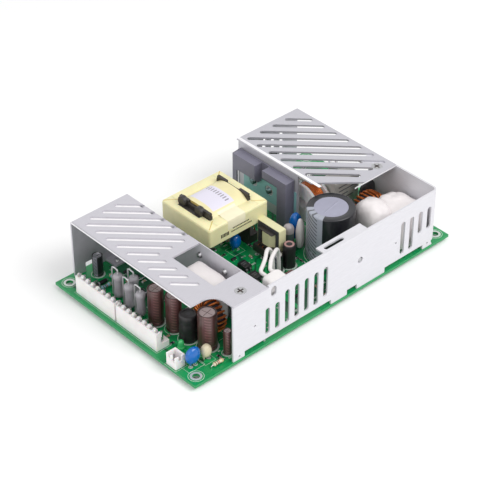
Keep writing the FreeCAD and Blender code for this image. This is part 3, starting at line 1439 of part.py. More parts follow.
def round_route(points):
    """Straight runs joined by arcs, each arc as large as its two runs allow."""
    corners = [FreeCAD.Vector(*point) for point in points]
    edges = []
    here = corners[0]
    for before, corner, after in zip(corners, corners[1:], corners[2:]):
        back = before - corner
        ahead = after - corner
        turn = math.pi - back.getAngle(ahead)
        cut = 0.45 * min(back.Length, ahead.Length)
        back.normalize()
        ahead.normalize()
        start = corner + back * cut
        end = corner + ahead * cut
        radius = cut / math.tan(turn / 2)
        inward = (back + ahead).normalize()
        centre = corner + inward * (radius / math.cos(turn / 2))
        middle = centre - inward * radius
        edges.append(Part.LineSegment(here, start).toShape())
        edges.append(Part.Arc(start, middle, end).toShape())
        here = end
    edges.append(Part.LineSegment(here, corners[-1]).toShape())
    return Part.Wire(edges)


def make_switch_leads():
    """Two sleeved leads from the switch down to the board."""
    radius = value("switch_lead_radius")
    tubes = []
    for route in LEAD_ROUTES:
        moved = [list(point) for point in route]
        shift = value("thermal_switch_x") - 57.0
        rear = value(WALL_INNER + " + 2 * switch_radius")
        level = value("board_thick")
        moved[0] = [moved[0][0] + shift, rear, moved[0][2]]
        moved[1] = [moved[1][0] + shift, moved[1][1], moved[1][2]]
        moved[-1][2] = level
        path = round_route(moved)
        first = FreeCAD.Vector(*moved[0])
        heading = (FreeCAD.Vector(*moved[1]) - first).normalize()
        ring = Part.Wire([Part.Circle(first, heading, radius).toShape()])
        tubes.append(Part.Wire(path).makePipeShell([ring], True, False))
    leads = doc.addObject("Part::Feature", "switch_leads")
    leads.Shape = Part.makeCompound(tubes)
    finish("switch_leads", leads)


def make_fuse():
    x0 = "(fuse_x - fuse_length / 2)"
    pieces = [rod(x0, "fuse_y", "fuse_z", "fuse_radius", "fuse_length", ALONG_X)]
    for start in (x0, "(fuse_x + fuse_length / 2 - fuse_cap)"):
        pieces.append(rod(start, "fuse_y", "fuse_z", "fuse_cap_radius", "fuse_cap", ALONG_X))
        pieces.append(box(start + " + fuse_cap / 2 - 0.6", "fuse_y - 0.4", "board_thick", "1.2", "0.8",
                          "fuse_z - board_thick - fuse_radius / 2"))
    finish("fuse", join(*pieces))


def make_bridge():
    x = "bridge_rectifier_x"
    face = INNER_LEG
    low = "(board_thick + bridge_stand)"
    pieces = [box(x + " - bridge_length / 2", face + " - bridge_thick", low, "bridge_length",
                  "bridge_thick", "bridge_high")]
    for number in range(4):
        pieces.append(box("%s + (%d - 1.5) * bridge_leg_pitch - package_leg_width / 2" % (x, number),
                          face + " - bridge_thick / 2", "board_thick", "package_leg_width",
                          "package_leg_thick", "bridge_stand + 1"))
    bevel = at(bind(doc.addObject("Part::Box", "bevel"), Length="4", Width="bridge_thick + 2", Height="4"),
               x + " + bridge_length / 2", face + " - bridge_thick - 1", low + " + bridge_high - 2.4",
               FreeCAD.Rotation(FreeCAD.Vector(0, 1, 0), -45))
    finish("bridge_rectifier", carve(join(*pieces), bevel))


def make_chips():
    """Control circuit and two optocouplers in moulded bodies on formed legs."""
    chips = []
    for place, length, legs in (("control_chip", "chip_length", 4), ("optocoupler_1", "opto_length", 2),
                                ("optocoupler_2", "opto_length", 2)):
        x = place + "_x"
        y = place + "_y"
        pieces = [middle_box(x, y, "board_thick + chip_stand", length, "chip_width", "chip_high")]
        for number in range(legs):
            leg_x = "%s + (%d - %g) * 2.54" % (x, number, (legs - 1) / 2)
            for side in (-1, 1):
                pieces.append(middle_box(leg_x, "%s + %d * (chip_width / 2 + 0.3)" % (y, side),
                                         "board_thick", "chip_leg_width", "0.4",
                                         "chip_stand + chip_high / 2 + 0.2"))
                pieces.append(middle_box(leg_x, "%s + %d * (chip_width / 2 + 0.1)" % (y, side),
                                         "board_thick + chip_stand + chip_high / 2", "chip_leg_width",
                                         "0.6", "0.2"))
        chips.append(join(*pieces))
    finish("control_chips", group(*chips))


def make_axials():
    """Small axial resistors and diodes lying close to the board on their bent leads."""
    parts = []
    for x, y, heading in AXIALS:
        spin = ALONG_Y if heading else ALONG_X
        level = "board_thick + axial_stand + axial_radius"
        half = "(axial_length / 2)"
        reach = "(axial_length / 2 + axial_lead)"
        pieces = []
        for radius, span in (("axial_radius", half), ("0.3", reach)):
            start = (str(x), "%g - %s" % (y, span)) if heading else ("%g - %s" % (x, span), str(y))
            pieces.append(rod(*start, level, radius, "2 * " + span, spin))
        for side in (-1, 1):
            foot = (str(x), "%g + %d * (%s - 0.35)" % (y, side, reach)) if heading else (
                "%g + %d * (%s - 0.35)" % (x, side, reach), str(y))
            pieces.append(rod(*foot, "board_thick", "0.26", "axial_stand + axial_radius"))
        parts.append(join(*pieces))
    finish("axial_parts", group(*parts))


def make_solder_joints():
    """Cones of solder under the leads of the larger parts."""
    spots = []
    for y in ("header_a_y", "header_b_y"):
        for number in range(8):
            spots.append(("header_x + header_deep / 2 + 0.6",
                          "%s + header_end + %d * header_pitch" % (y, number)))
    for number in range(0, 5, 2):
        spots.append(("input_x + header_deep / 2 + 0.6", "input_y + header_end + %d * header_pitch" % number))
    for place in ("output_capacitor_1", "output_capacitor_2", "output_capacitor_3", "left_capacitor",
                  "slim_capacitor", "standby_capacitor", "bulk_capacitor", "front_disc", "varistor",
                  "bridge_disc", "blue_disc", "inrush_thermistor", "red_capacitor", "x_capacitor",
                  "sleeved_choke", "hollow_choke", "output_choke", "boost_choke", "filter_choke"):
        for side in (-0.6, 0.6):
            spots.append(("%s_x + %g * joint_pitch" % (place, side), place + "_y"))
    for side in (-1, 1):
        for number in range(6):
            spots.append(("transformer_x + %d * (core_length / 2 - rail_deep / 2)" % side,
                          "transformer_y + (%d - 2.5) * flange_width / 6.5" % number))
        for number in range(4):
            spots.append(("standby_x + %d * (standby_flange_deep / 2 - 1)" % side,
                          "standby_y + (%d - 1.5) * 3.6" % number))
    for name, level in (("rectifier_1", FRONT_FAR), ("rectifier_2", FRONT_FAR),
                        ("power_1", "(rear_near + sheet_thick)"), ("power_2", "(rear_near + sheet_thick)")):
        for number in (-1, 0, 1):
            spots.append((level + " + package_tab_thick * 1.4",
                          "%s_y + %d * package_leg_pitch" % (name, number)))
    cones = [taper(x, y, "-joint_high", "joint_tip", "joint_radius", "joint_high") for x, y in spots]
    finish("solder_joints", group(*cones))


make_board()
make_front_heatsink()
make_lining()
make_rear_heatsink()
make_side_wall()
make_plate_screws()
make_board_screws()
make_rear_cover()
make_package("output_rectifier_1", FRONT_FAR, "1", "rectifier_1_y", "rectifier_screw_z")
make_package("output_rectifier_2", FRONT_FAR, "1", "rectifier_2_y", "rectifier_screw_z")
make_package("power_transistor_1", "(rear_near + sheet_thick)", "1", "power_1_y", "power_screw_z")
make_package("power_transistor_2", "(rear_near + sheet_thick)", "1", "power_2_y", "power_screw_z")
make_wall_diode()
make_package_screws()
make_header("output_header_a", "header_x", "header_a_y", 8, 1)
make_header("output_header_b", "header_x", "header_b_y", 8, 1)
make_header("mains_header", "input_x", "input_y", 5, 2)
make_signal_header()
make_header_pins()
for number in (1, 2):
    make_can("output_capacitor_%d" % number, "output_capacitor_%d" % number, "output_can")
make_can("output_capacitor_3", "output_capacitor_3", "large_can")
make_can("left_capacitor", "left_capacitor", "left_can")
make_can("slim_capacitor", "slim_capacitor", "slim_can")
make_can("standby_capacitor", "standby_capacitor", "standby_can")
make_can("bulk_capacitor", "bulk_capacitor", "bulk_can", "bulk_can_rim", "bulk_can_rim_drop")
finish("load_resistors", group(*[make_resistor("resistor_%d" % number) for number in (1, 2, 3, 4)]))
make_round_parts()
make_disc("front_disc_capacitor", "front_disc", "front_disc_radius", "disc_thick", "front_disc_z", -114)
make_disc("disc_varistor", "varistor", "varistor_radius", "varistor_thick", "varistor_z", -132)
make_disc("bridge_disc_capacitor", "bridge_disc", "bridge_disc_radius", "disc_thick", "bridge_disc_z", -132)
make_disc("blue_disc_capacitor", "blue_disc", "blue_disc_radius", "disc_thick", "blue_disc_z", -132)
make_disc("inrush_thermistor", "inrush_thermistor", "inrush_radius", "inrush_thick", "inrush_z", -90)
make_box_capacitor("red_capacitor", "red_capacitor", "red_length", "red_width", "red_high", "x_edge")
make_box_capacitor("x_capacitor", "x_capacitor", "x_length", "x_width", "x_high", "x_edge")
make_transformer()
make_standby()
make_ring_choke("output", "output_choke", int(SIZES["output_turns"]), True)
make_ring_choke("boost", "boost_choke", int(SIZES["boost_turns"]), False)
make_filter_choke()
make_adhesive()
make_thermal_switch()
make_switch_leads()
make_fuse()
make_bridge()
make_chips()
make_axials()
make_solder_joints()

doc.recompute()
doc.recompute()

# Check that every feature was made and that every cut takes material away
for thing in doc.Objects:
    bad = [state for state in thing.State if state in ("Invalid", "Error")]
    if bad:
        raise SystemExit("%s (%s) is %s" % (thing.Name, thing.Label, bad))
    if thing.TypeId == "PartDesign::Pocket" and thing.Shape.Volume >= thing.BaseFeature.Shape.Volume - 1e-6:
        raise SystemExit("%s in %s cuts nothing" % (thing.Name, thing.getParentGeoFeatureGroup().Label))
for thing in nodes:
    if thing.Shape.isNull() or not thing.Shape.isValid():
        raise SystemExit("%s has no valid shape" % thing.Label)

os.makedirs("parts", exist_ok=True)
for thing in nodes:
    thing.Shape.exportStep(os.path.join("parts", thing.Label + ".step"))
    print("%-24s %2d solids %10.1f mm3" % (thing.Label, len(thing.Shape.Solids), thing.Shape.Volume))
print(len(nodes), "nodes")
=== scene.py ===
"""The looks of an open frame power supply: finishes, cans, windings and board detail."""
import math
import random

import bmesh
import bpy
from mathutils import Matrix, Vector, noise


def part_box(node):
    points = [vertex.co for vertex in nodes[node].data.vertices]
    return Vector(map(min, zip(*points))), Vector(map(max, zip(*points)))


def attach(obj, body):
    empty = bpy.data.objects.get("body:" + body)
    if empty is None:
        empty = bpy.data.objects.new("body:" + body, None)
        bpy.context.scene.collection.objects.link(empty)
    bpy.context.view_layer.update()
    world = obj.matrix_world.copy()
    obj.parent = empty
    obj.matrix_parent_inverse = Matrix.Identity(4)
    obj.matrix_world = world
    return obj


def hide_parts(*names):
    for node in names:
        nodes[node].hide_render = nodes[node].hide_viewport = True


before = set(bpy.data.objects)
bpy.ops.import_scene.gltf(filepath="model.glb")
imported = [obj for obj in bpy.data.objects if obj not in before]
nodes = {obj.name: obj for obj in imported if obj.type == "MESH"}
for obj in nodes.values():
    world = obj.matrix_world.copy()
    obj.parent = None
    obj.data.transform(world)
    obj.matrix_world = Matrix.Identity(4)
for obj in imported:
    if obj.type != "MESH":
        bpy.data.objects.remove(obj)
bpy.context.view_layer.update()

MM = 0.001
BOARD_LOW, BOARD_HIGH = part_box("board")
BOARD_LONG, BOARD_WIDE = (BOARD_HIGH.x - BOARD_LOW.x) / MM, (BOARD_HIGH.y - BOARD_LOW.y) / MM
CORNER = Vector((BOARD_LOW.x, BOARD_LOW.y, 0.0))
TOP = BOARD_HIGH.z / MM
SHEET_THICK = 1.0

# The photograph's camera
LENS = 120.53
CAMERA_AZIMUTH = -42.6366
CAMERA_ELEVATION = 37.0281
CAMERA_PLACE = Vector((-0.470217, -0.506341, 0.527916))
FLOOR_LEVEL = -0.002
FLOOR_SIDE = 8.0


# Measures

def at(x, y, z=0.0):
    """Metres in the row frame, for millimetres from the board's front left corner."""
    return Vector((BOARD_LOW.x + x * MM, BOARD_LOW.y + y * MM, z * MM))


def box_of(node):
    """A node's lowest and highest corners and its middle, in millimetres from the board's corner."""
    low, high = [(end - CORNER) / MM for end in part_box(node)]
    return low, high, (low + high) / 2


def solids_of(node):
    """The box of each separate solid of a node, as box_of gives it, from left to right."""
    work = bmesh.new()
    work.from_mesh(nodes[node].data)
    bmesh.ops.remove_doubles(work, verts=work.verts, dist=1e-6)
    left, found = set(work.verts), []
    while left:
        stack, group = [left.pop()], []
        while stack:
            vert = stack.pop()
            group.append((vert.co - CORNER) / MM)
            near = {edge.other_vert(vert) for edge in vert.link_edges} & left
            left -= near
            stack += near
        low, high = [Vector([end(point[axis] for point in group) for axis in range(3)]) for end in (min, max)]
        found.append((low, high, (low + high) / 2))
    work.free()
    return sorted(found, key=lambda solid: (round(solid[0].x, 2), round(solid[0].y, 2), solid[0].z))


def circle(sides):
    """The angles of equal steps all the way round."""
    return [2 * math.pi * side / sides for side in range(sides)]


def lean(axis):
    """The turn that brings an upright line to an axis."""
    return Vector((0, 0, 1)).rotation_difference(Vector(axis)).to_matrix()


def in_turn(points):
    """Each point between its neighbours; an end point stands in for the one that it lacks."""
    return zip([points[0], *points], points, [*points[1:], points[-1]])


def inward(radius, level, *steps):
    """Points of a profile: how far in from a radius, and how far above a level."""
    return [(radius - inset, level + rise) for inset, rise in steps]


def curve_through(points, steps=8):
    """A smooth line through points."""
    points = [Vector(point) for point in points]
    ends = [points[0] * 2 - points[1], *points, points[-1] * 2 - points[-2]]
    line = []
    for before, start, end, after in zip(ends, ends[1:], ends[2:], ends[3:]):
        for step in range(steps):
            part = step / steps
            line.append(0.5 * (
                start * 2 + (end - before) * part
                + (before * 2 - start * 5 + end * 4 - after) * part ** 2
                + (start * 3 - before - end * 3 + after) * part ** 3
            ))
    return line + [points[-1]]


def superellipse(turn, half_wide, half_high, power):
    """A point on a rounded rectangle at an angle."""
    reach = (abs(math.cos(turn)) ** power + abs(math.sin(turn)) ** power) ** (-1 / power)
    return reach * math.cos(turn) * half_wide, reach * math.sin(turn) * half_high


# Looks

def paint(red, green, blue):
    """A colour as it shows on a screen, 0 to 255, made linear."""
    shown = [channel / 255 for channel in (red, green, blue)]
    return tuple(c / 12.92 if c < 0.04 else ((c + 0.055) / 1.055) ** 2.4 for c in shown) + (1.0,)


class Look:
    """One procedural material."""

    def __init__(self, name, colour, rough=0.5, metal=0.0, **sockets):
        self.material = bpy.data.materials.new(name)
        self.material.use_nodes = True
        self.tree = self.material.node_tree
        self.shader = self.tree.nodes["Principled BSDF"]
        self.place = self.add("ShaderNodeTexCoord").outputs["Object"]
        self.colour = colour
        self.shader.inputs["Base Color"].default_value = colour
        self.shader.inputs["Roughness"].default_value = rough
        self.shader.inputs["Metallic"].default_value = metal
        for socket, value in sockets.items():
            self.shader.inputs[socket.replace("_", " ")].default_value = value

    def add(self, kind, **inputs):
        made = self.tree.nodes.new(kind)
        for name, value in inputs.items():
            self.feed(made.inputs[name.replace("_", " ")], value)
        return made

    def feed(self, socket, value):
        if isinstance(value, bpy.types.NodeSocket):
            self.tree.links.new(value, socket)
        else:
            socket.default_value = value

    def operate(self, kind, operation, values):
        made = self.tree.nodes.new(kind)
        made.operation = operation
        for socket, value in zip(made.inputs, values):
            self.feed(socket, value)
        return made.outputs

    def sum(self, operation, *values):
        return self.operate("ShaderNodeMath", operation, values)[0]

    def vector(self, operation, *values):
        result = "Value" if operation == "DOT_PRODUCT" else "Vector"
        return self.operate("ShaderNodeVectorMath", operation, values)[result]

    def within(self, value, middle, half):
        """One where a value is nearer to a middle than half, and nought elsewhere."""
        return self.sum("LESS_THAN", self.sum("ABSOLUTE", self.sum("SUBTRACT", value, middle)), half)

    def blend(self, factor, first, second, kind="MIX"):
        made = self.tree.nodes.new("ShaderNodeMix")
        made.data_type, made.blend_type = "RGBA", kind
        for place, value in (("Factor", factor), (6, first), (7, second)):
            self.feed(made.inputs[place], value)
        return made.outputs[2]

    def paint(self, value):
        self.colour = value
        self.feed(self.shader.inputs["Base Color"], value)
        return self

    def spread(self, scale, stretch):
        """Noise of so many spots to the metre, stretched along the axes."""
        place = self.vector("MULTIPLY", self.place, stretch)
        return self.add("ShaderNodeTexNoise", Vector=place, Scale=scale, Detail=3.0).outputs["Fac"]

    def mottle(self, scale, depth, stretch=(1, 1, 1)):
        """The colour a little darker and lighter in spots."""
        ramp = self.add("ShaderNodeValToRGB", Fac=self.spread(scale, stretch))
        for element, (position, tone) in zip(ramp.color_ramp.elements, ((0.3, 1.0 - depth), (0.7, 1.0))):
            element.position = position
            element.color = (tone, tone, tone, 1.0)
        return self.paint(self.blend(1.0, self.colour, ramp.outputs["Color"], "MULTIPLY"))

    def rough(self, scale, low, high, stretch=(1, 1, 1)):
        """The roughness between two values in spots."""
        spots = self.spread(scale, stretch)
        mapped = self.add("ShaderNodeMapRange", Value=spots, To_Min=low, To_Max=high).outputs["Result"]
        self.feed(self.shader.inputs["Roughness"], mapped)
        return self

    def grain(self, scale, depth, stretch=(1, 1, 1)):
        """A bump in spots, so many millimetres deep."""
        spots = self.spread(scale, stretch)
        bump = self.add("ShaderNodeBump", Height=spots, Distance=depth * MM, Strength=1.0)
        self.feed(self.shader.inputs["Normal"], bump.outputs["Normal"])
        return self


def plastic(name, shown, rough=0.45, scale=900, depth=0.03, **sockets):
    look = Look(name, paint(*shown), rough, **sockets)
    return look.mottle(scale / 4, 0.08).rough(scale / 3, rough - 0.06, rough + 0.08).grain(scale, depth)


def metal(name, shown, rough=0.3, stretch=(1, 1, 1), scale=600, depth=0.006, metallic=1.0):
    look = Look(name, paint(*shown), rough, metallic).mottle(scale / 2, 0.07, stretch)
    return look.rough(scale, rough - 0.07, rough + 0.09, stretch).grain(scale, depth, stretch)


# Forms

ON_AXIS = 0.01
SHARP = math.radians(38.0)


class Form:
    """A mesh gathered part by part in millimetres, each part with its own look."""

    def __init__(self):
        self.mesh = bmesh.new()
        self.looks = []

    def faces_look(self, faces, look):
        if look not in self.looks:
            self.looks.append(look)
        for face in faces:
            face.material_index = self.looks.index(look)

    def skin(self, rows, look, closed=False, caps=True):
        """Faces between rows of points; closed rows join their last point to their first."""
        rings = [[self.mesh.verts.new(point) for point in row] for row in rows]
        count = len(rings[0])
        made = []
        for first, second in zip(rings, rings[1:]):
            for step in range(count if closed else count - 1):
                after = (step + 1) % count
                made.append(self.mesh.faces.new((first[step], first[after], second[after], second[step])))
        if caps and closed:
            made += [self.mesh.faces.new(rings[0][::-1]), self.mesh.faces.new(rings[-1])]
        self.faces_look(made, look)
        return made

    def lathe(self, profile, look, middle=(0, 0, 0), axis=(0, 0, 1), sides=40, caps=True):
        """A profile of radius and height pairs turned round an axis through the middle."""
        turned, middle = lean(axis), Vector(middle)
        rows = []
        for radius, height in profile:
            radius = max(radius, ON_AXIS)
            rows.append([
                turned @ Vector((radius * math.cos(turn), radius * math.sin(turn), height)) + middle
                for turn in circle(sides)
            ])
        self.skin(rows, look, closed=True, caps=caps)

    def tube(self, points, radius, look, sides=10):
        """A wire of one radius along points."""
        points = [Vector(point) for point in points]
        normal = (points[1] - points[0]).normalized().orthogonal().normalized()
        rows = []
        for behind, point, ahead in in_turn(points):
            run = (ahead - behind).normalized()
            normal = (normal - run * normal.dot(run)).normalized()
            across = run.cross(normal)
            rows.append([
                point + (normal * math.cos(turn) + across * math.sin(turn)) * radius for turn in circle(sides)
            ])
        self.skin(rows, look, closed=True)

    def block(self, low, high, look, edge=0.25, steps=2):
        """A box with rounded edges."""
        low, high = Vector(low), Vector(high)
        made = bmesh.ops.create_cube(self.mesh, size=1.0)["verts"]
        for vert in made:
            vert.co = Vector((low[a] + (vert.co[a] + 0.5) * (high[a] - low[a]) for a in range(3)))
        self.rounded(made, look, edge, steps)

    def rounded(self, verts, look, edge, steps):
        """Rounds the edges at some points of the mesh."""
        faces = {face for vert in verts for face in vert.link_faces}
        edges = list({line for vert in verts for line in vert.link_edges})
        self.faces_look(faces, look)
        made = bmesh.ops.bevel(
            self.mesh, geom=edges, offset=edge, offset_type="OFFSET", segments=steps, profile=0.5,
            affect="EDGES",
        )
        self.faces_look({face for face in faces if face.is_valid} | set(made["faces"]), look)

    def disc(self, middle, radius, look, rings, sides, height, axis=(0, 0, 1)):
        """A disc across an axis, whose height above its middle follows a function."""
        turned, middle = lean(axis), Vector(middle)
        rows = []
        for ring in range(rings, -1, -1):
            reach = max(radius * ring / rings, ON_AXIS)
            flat = [(reach * math.cos(turn), reach * math.sin(turn)) for turn in circle(sides)]
            rows.append([turned @ Vector((x, y, height(x, y))) + middle for x, y in flat])
        return self.skin(rows, look, closed=True, caps=False)

    def egg(self, middle, half, look, power, sides=56, rings=36):
        """A rounded body with half sizes along the axes; a higher power makes it more like a box."""
        def arc(value):
            return math.copysign(abs(value) ** (2 / power), value)

        rows = []
        for ring in range(rings + 1):
            rise = math.pi * (ring / rings - 0.5) * 0.995
            wide, tall = arc(math.cos(rise)), half[2] * arc(math.sin(rise))
            rows.append([
                middle + Vector((
                    half[0] * wide * arc(math.cos(turn)), half[1] * wide * arc(math.sin(turn)), tall,
                )) for turn in circle(sides)
            ])
        self.skin(rows, look, closed=True)

    def ring_line(self, middle, radius, width, thick, look, start=0.0, end=360.0, sides=48):
        """A flat band along a circle, or along part of one."""
        inner, outer = radius - width / 2, radius + width / 2
        low, high = middle[2], middle[2] + thick
        rows = []
        for side in range(sides + 1):
            turn = math.radians(start + (end - start) * side / sides)
            rows.append([
                (middle[0] + reach * math.cos(turn), middle[1] + reach * math.sin(turn), level)
                for reach, level in ((inner, low), (inner, high), (outer, high), (outer, low))
            ])
        self.skin(rows, look, closed=True, caps=end - start < 360)

    def strip(self, points, width, thick, look):
        """A flat band along a level line of x, y, z points."""
        up = Vector((0, 0, thick))
        rows = []
        for behind, point, ahead in in_turn([Vector(point) for point in points]):
            run = ((ahead - point).normalized() + (point - behind).normalized()).normalized()
            across = Vector((-run.y, run.x, 0)) * width / 2
            rows.append([point - across, point - across + up, point + across + up, point + across])
        self.skin(rows, look, closed=True)

    def piece(self, name, slot, replaced=(), middle=(0, 0, 0), weld=True):
        """Makes the object; its origin lies at the middle, in millimetres on the board."""
        if weld:
            bmesh.ops.remove_doubles(self.mesh, verts=self.mesh.verts, dist=1e-4)
        bmesh.ops.recalc_face_normals(self.mesh, faces=self.mesh.faces)
        for face in self.mesh.faces:
            face.smooth = True
        for line in self.mesh.edges:
            if len(line.link_faces) == 2 and line.calc_face_angle(0.0) > SHARP:
                line.smooth = False
        middle = Vector(middle)
        for vert in self.mesh.verts:
            vert.co = (vert.co - middle) * MM
        data = bpy.data.meshes.new(name)
        self.mesh.to_mesh(data)
        self.mesh.free()
        made = bpy.data.objects.new(name, data)
        made.location = at(*middle)
        bpy.context.scene.collection.objects.link(made)
        for look in self.looks:
            data.materials.append(look.material)
        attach(made, "root")
        if replaced:
            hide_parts(*replaced)

    def stand_for(self, node, slot, middle, weld=True):
        """Makes the object that takes a node's place."""
        self.piece(node + "_look", slot, [node], middle, weld)


def dress(node, look, edge=0.0, steps=2, folded=False):
    """Gives a node a look and rounds its edges; folded sheet first has its flat faces joined."""
    item = nodes[node]
    item.data.materials.clear()
    item.data.materials.append(look.material)
    if not edge:
        return
    item.modifiers.new("weld", "WELD").merge_threshold = 1e-6
    if folded:
        plain = item.modifiers.new("plain", "DECIMATE")
        plain.decimate_type = "DISSOLVE"
        plain.angle_limit = math.radians(1.0)
    rounding = item.modifiers.new("edges", "BEVEL")
    rounding.width = edge * MM
    rounding.segments = steps
    rounding.limit_method = "ANGLE"
    rounding.angle_limit = math.radians(30.0)
    rounding.harden_normals = not folded
    if folded:
        weighted = item.modifiers.new("normals", "WEIGHTED_NORMAL")
        weighted.weight = 100
        weighted.keep_sharp = True


# Finishes

sheet = metal("brushed_sheet", (202, 200, 207), 0.42, (1, 14, 1), 500, 0.01, 0.4)
# Same aluminium as the tops, made lighter and less metallic: painted light for the lamp light that falls on
# the side wall.
wall_sheet_painted_light = metal("wall_sheet_painted_light", (219, 218, 223), 0.45, (1, 1, 14), 500, 0.01, 0.25)
# Near-white, barely metallic strips: painted highlights where light catches the sheared edges and the rear
# flange's fold.
painted_edge_highlight = metal("painted_edge_highlight", (246, 245, 248), 0.5, (1, 1, 1), 700, 0.006, 0.1)
rear_sheet = metal("rear_sheet", (194, 193, 200), 0.42, (1, 14, 1), 500, 0.01, 0.4)
lining = plastic("lining", (250, 248, 248), 0.6)
steel = metal("steel", (190, 190, 192), 0.28)
tin = metal("tin", (205, 205, 205), 0.25)
solder = metal("solder", (196, 196, 198), 0.22, scale=900, depth=0.03)
copper = metal("copper", (200, 112, 58), 0.28, (6, 6, 1), 1500, 0.01, 0.85)
foil = metal("can_foil", (205, 206, 210), 0.36, depth=0.01)
rosy_foil = metal("rosy_foil", (186, 168, 168), 0.4, depth=0.01, metallic=0.6)
bright_tin = metal("bright_tin", (226, 226, 228), 0.34, metallic=0.55)
nylon = plastic("nylon", (244, 240, 240), 0.42, 700, 0.02, Subsurface_Weight=0.15, Subsurface_Scale=0.001)
black = plastic("moulding", (34, 34, 38), 0.5, 1400, 0.04)
ferrite = plastic("ferrite", (58, 58, 62), 0.62, 1600, 0.06)
insulator = plastic("insulator", (120, 118, 134), 0.36, 500, 0.02)
film = plastic("film", (140, 190, 190), 0.22, 200, 0.05)
brown_bobbin = plastic("bobbin", (46, 42, 40), 0.45)
grey_epoxy = plastic("resistor_body", (180, 177, 183), 0.32, 500, 0.05)
blue_coat = plastic("blue_coat", (0, 100, 184), 0.2, 350, 0.05, Coat_Weight=0.2)
pale_coat = plastic("pale_coat", (216, 206, 176), 0.3, 400, 0.05)
ink_coat = plastic("thermistor_coat", (38, 38, 40), 0.35, 500, 0.08)
green_coat = plastic("dipped_coat", (96, 112, 110), 0.35, 400, 0.05)
wine_box = plastic("wine_box", (92, 44, 44), 0.22, Coat_Weight=0.4)
grey_print = plastic("grey_print", (120, 120, 124), 0.5)
drop_top = plastic("drop_top", (196, 188, 190), 0.24, Coat_Weight=0.4)
pad_tin = metal("pad_tin", (206, 212, 208), 0.36, metallic=0.45)
pale_box = plastic("pale_box", (205, 202, 196), 0.4)
silicone = plastic("silicone", (236, 230, 230), 0.42, 260, 0.06)
sleeve_white = plastic("white_sleeve", (234, 230, 229), 0.5, 400, 0.05)
chip_black = plastic("chip", (28, 28, 32), 0.42, 1600, 0.03)
silk = plastic("silkscreen", (206, 222, 210), 0.55, 2500, 0.01)
trace = plastic("trace", (10, 92, 56), 0.3, 900, 0.01)
pale_trace = plastic("pale_trace", (30, 176, 98), 0.3, 900, 0.01)
bare_green = plastic("board_mask", (4, 146, 80), 0.28, 700, 0.012)
hollow_pink = plastic("hollow_ring", (172, 132, 128), 0.35)
hollow_red = plastic("hollow_core", (176, 52, 52), 0.4)
black_sleeve = plastic("shrink_sleeve", (36, 34, 36), 0.42, 500, 0.08)
tape_yellow = plastic("tape", (244, 234, 184), 0.34, 600, 0.02, Subsurface_Weight=0.1, Subsurface_Scale=0.001)
tape_cream = plastic("cream_tape", (226, 222, 178), 0.38, 600, 0.02)
tape_pale = plastic("pale_tape", (244, 236, 204), 0.36, 600, 0.02)
amber_winding = plastic("winding_tape", (216, 190, 112), 0.32, 600, 0.03)
vent = plastic("vent_disc", (166, 166, 184), 0.42, 900, 0.02, Metallic=0.35)
# Dark brownish colour for the screws' sunk cross: painted shade in the recess.
recess_painted_shade = plastic("screw_recess_painted_shade", (112, 96, 88), 0.5)
# A darker, teal-tinted copy of the steel: painted shade for the screws driven across at the rear flange.
steel_painted_shade = metal("steel_painted_shade", (112, 136, 138), 0.4)
marking = plastic("marking", (92, 92, 96), 0.5)
shiny_black = plastic("shiny_black", (26, 26, 30), 0.2)
band_brown = plastic("band_brown", (110, 62, 40), 0.35)
band_black = plastic("band_black", (30, 28, 30), 0.35)
band_red = plastic("band_red", (176, 44, 40), 0.35)
band_gold = plastic("band_gold", (190, 150, 70), 0.3)
sky_coat = plastic("sky_coat", (150, 196, 206), 0.3)
tan_chip = plastic("tan_chip", (176, 150, 120), 0.4)
winding_label = plastic("winding_label", (236, 226, 176), 0.34, 600, 0.02)
glass = Look("glass", paint(225, 232, 232), 0.05, Transmission_Weight=0.85, IOR=1.45).mottle(400, 0.05)
lamp_green = Look("lamp", paint(70, 205, 120), 0.12, Transmission_Weight=0.2, IOR=1.5, Coat_Weight=0.4)
lamp_green.mottle(900, 0.1)


def can_sleeve(name, shown, stripe, stripe_turn, stripe_half, hatch_pitch, hatch_slant, bar_tone):
    """A printed sleeve: a stripe of another colour along the can, hatched with plain slanting bars."""
    look = plastic(name, shown, 0.3, 500, 0.015, Coat_Weight=0.25)
    flat = look.vector("NORMALIZE", look.vector("MULTIPLY", look.place, (1, 1, 0)))
    turn, reach = math.radians(stripe_turn), math.sin(math.radians(stripe_half))
    beside = look.vector("DOT_PRODUCT", flat, (-math.sin(turn), math.cos(turn), 0))
    facing = look.vector("DOT_PRODUCT", flat, (math.cos(turn), math.sin(turn), 0))
    inside = look.sum("MULTIPLY", look.within(beside, 0.0, reach), look.sum("GREATER_THAN", facing, 0.0))
    rise = look.vector("DOT_PRODUCT", look.place, (0, 0, 1000 / hatch_pitch))
    phase = look.sum("FRACT", look.sum("ADD", rise, look.sum("MULTIPLY", beside, hatch_slant)))
    bars = look.sum("MULTIPLY", look.sum("LESS_THAN", phase, 0.34), look.within(beside, 0.0, 0.6 * reach))
    light = paint(*stripe)
    dark = tuple(min(1.0, channel * bar_tone) for channel in light[:3]) + (1.0,)
    return look.paint(look.blend(inside, look.colour, look.blend(bars, light, dark)))


brown_sleeve = can_sleeve("brown_sleeve", (74, 45, 42), (94, 64, 63), 232, 34, 1.7, 0.7, 1.9)
black_can = can_sleeve("black_can", (30, 30, 34), (120, 122, 130), 205, 24, 2.2, 1.6, 0.3)
bulk_sleeve = can_sleeve("bulk_sleeve", (24, 24, 30), (158, 162, 174), 172, 33, 2.3, 3.0, 0.3)


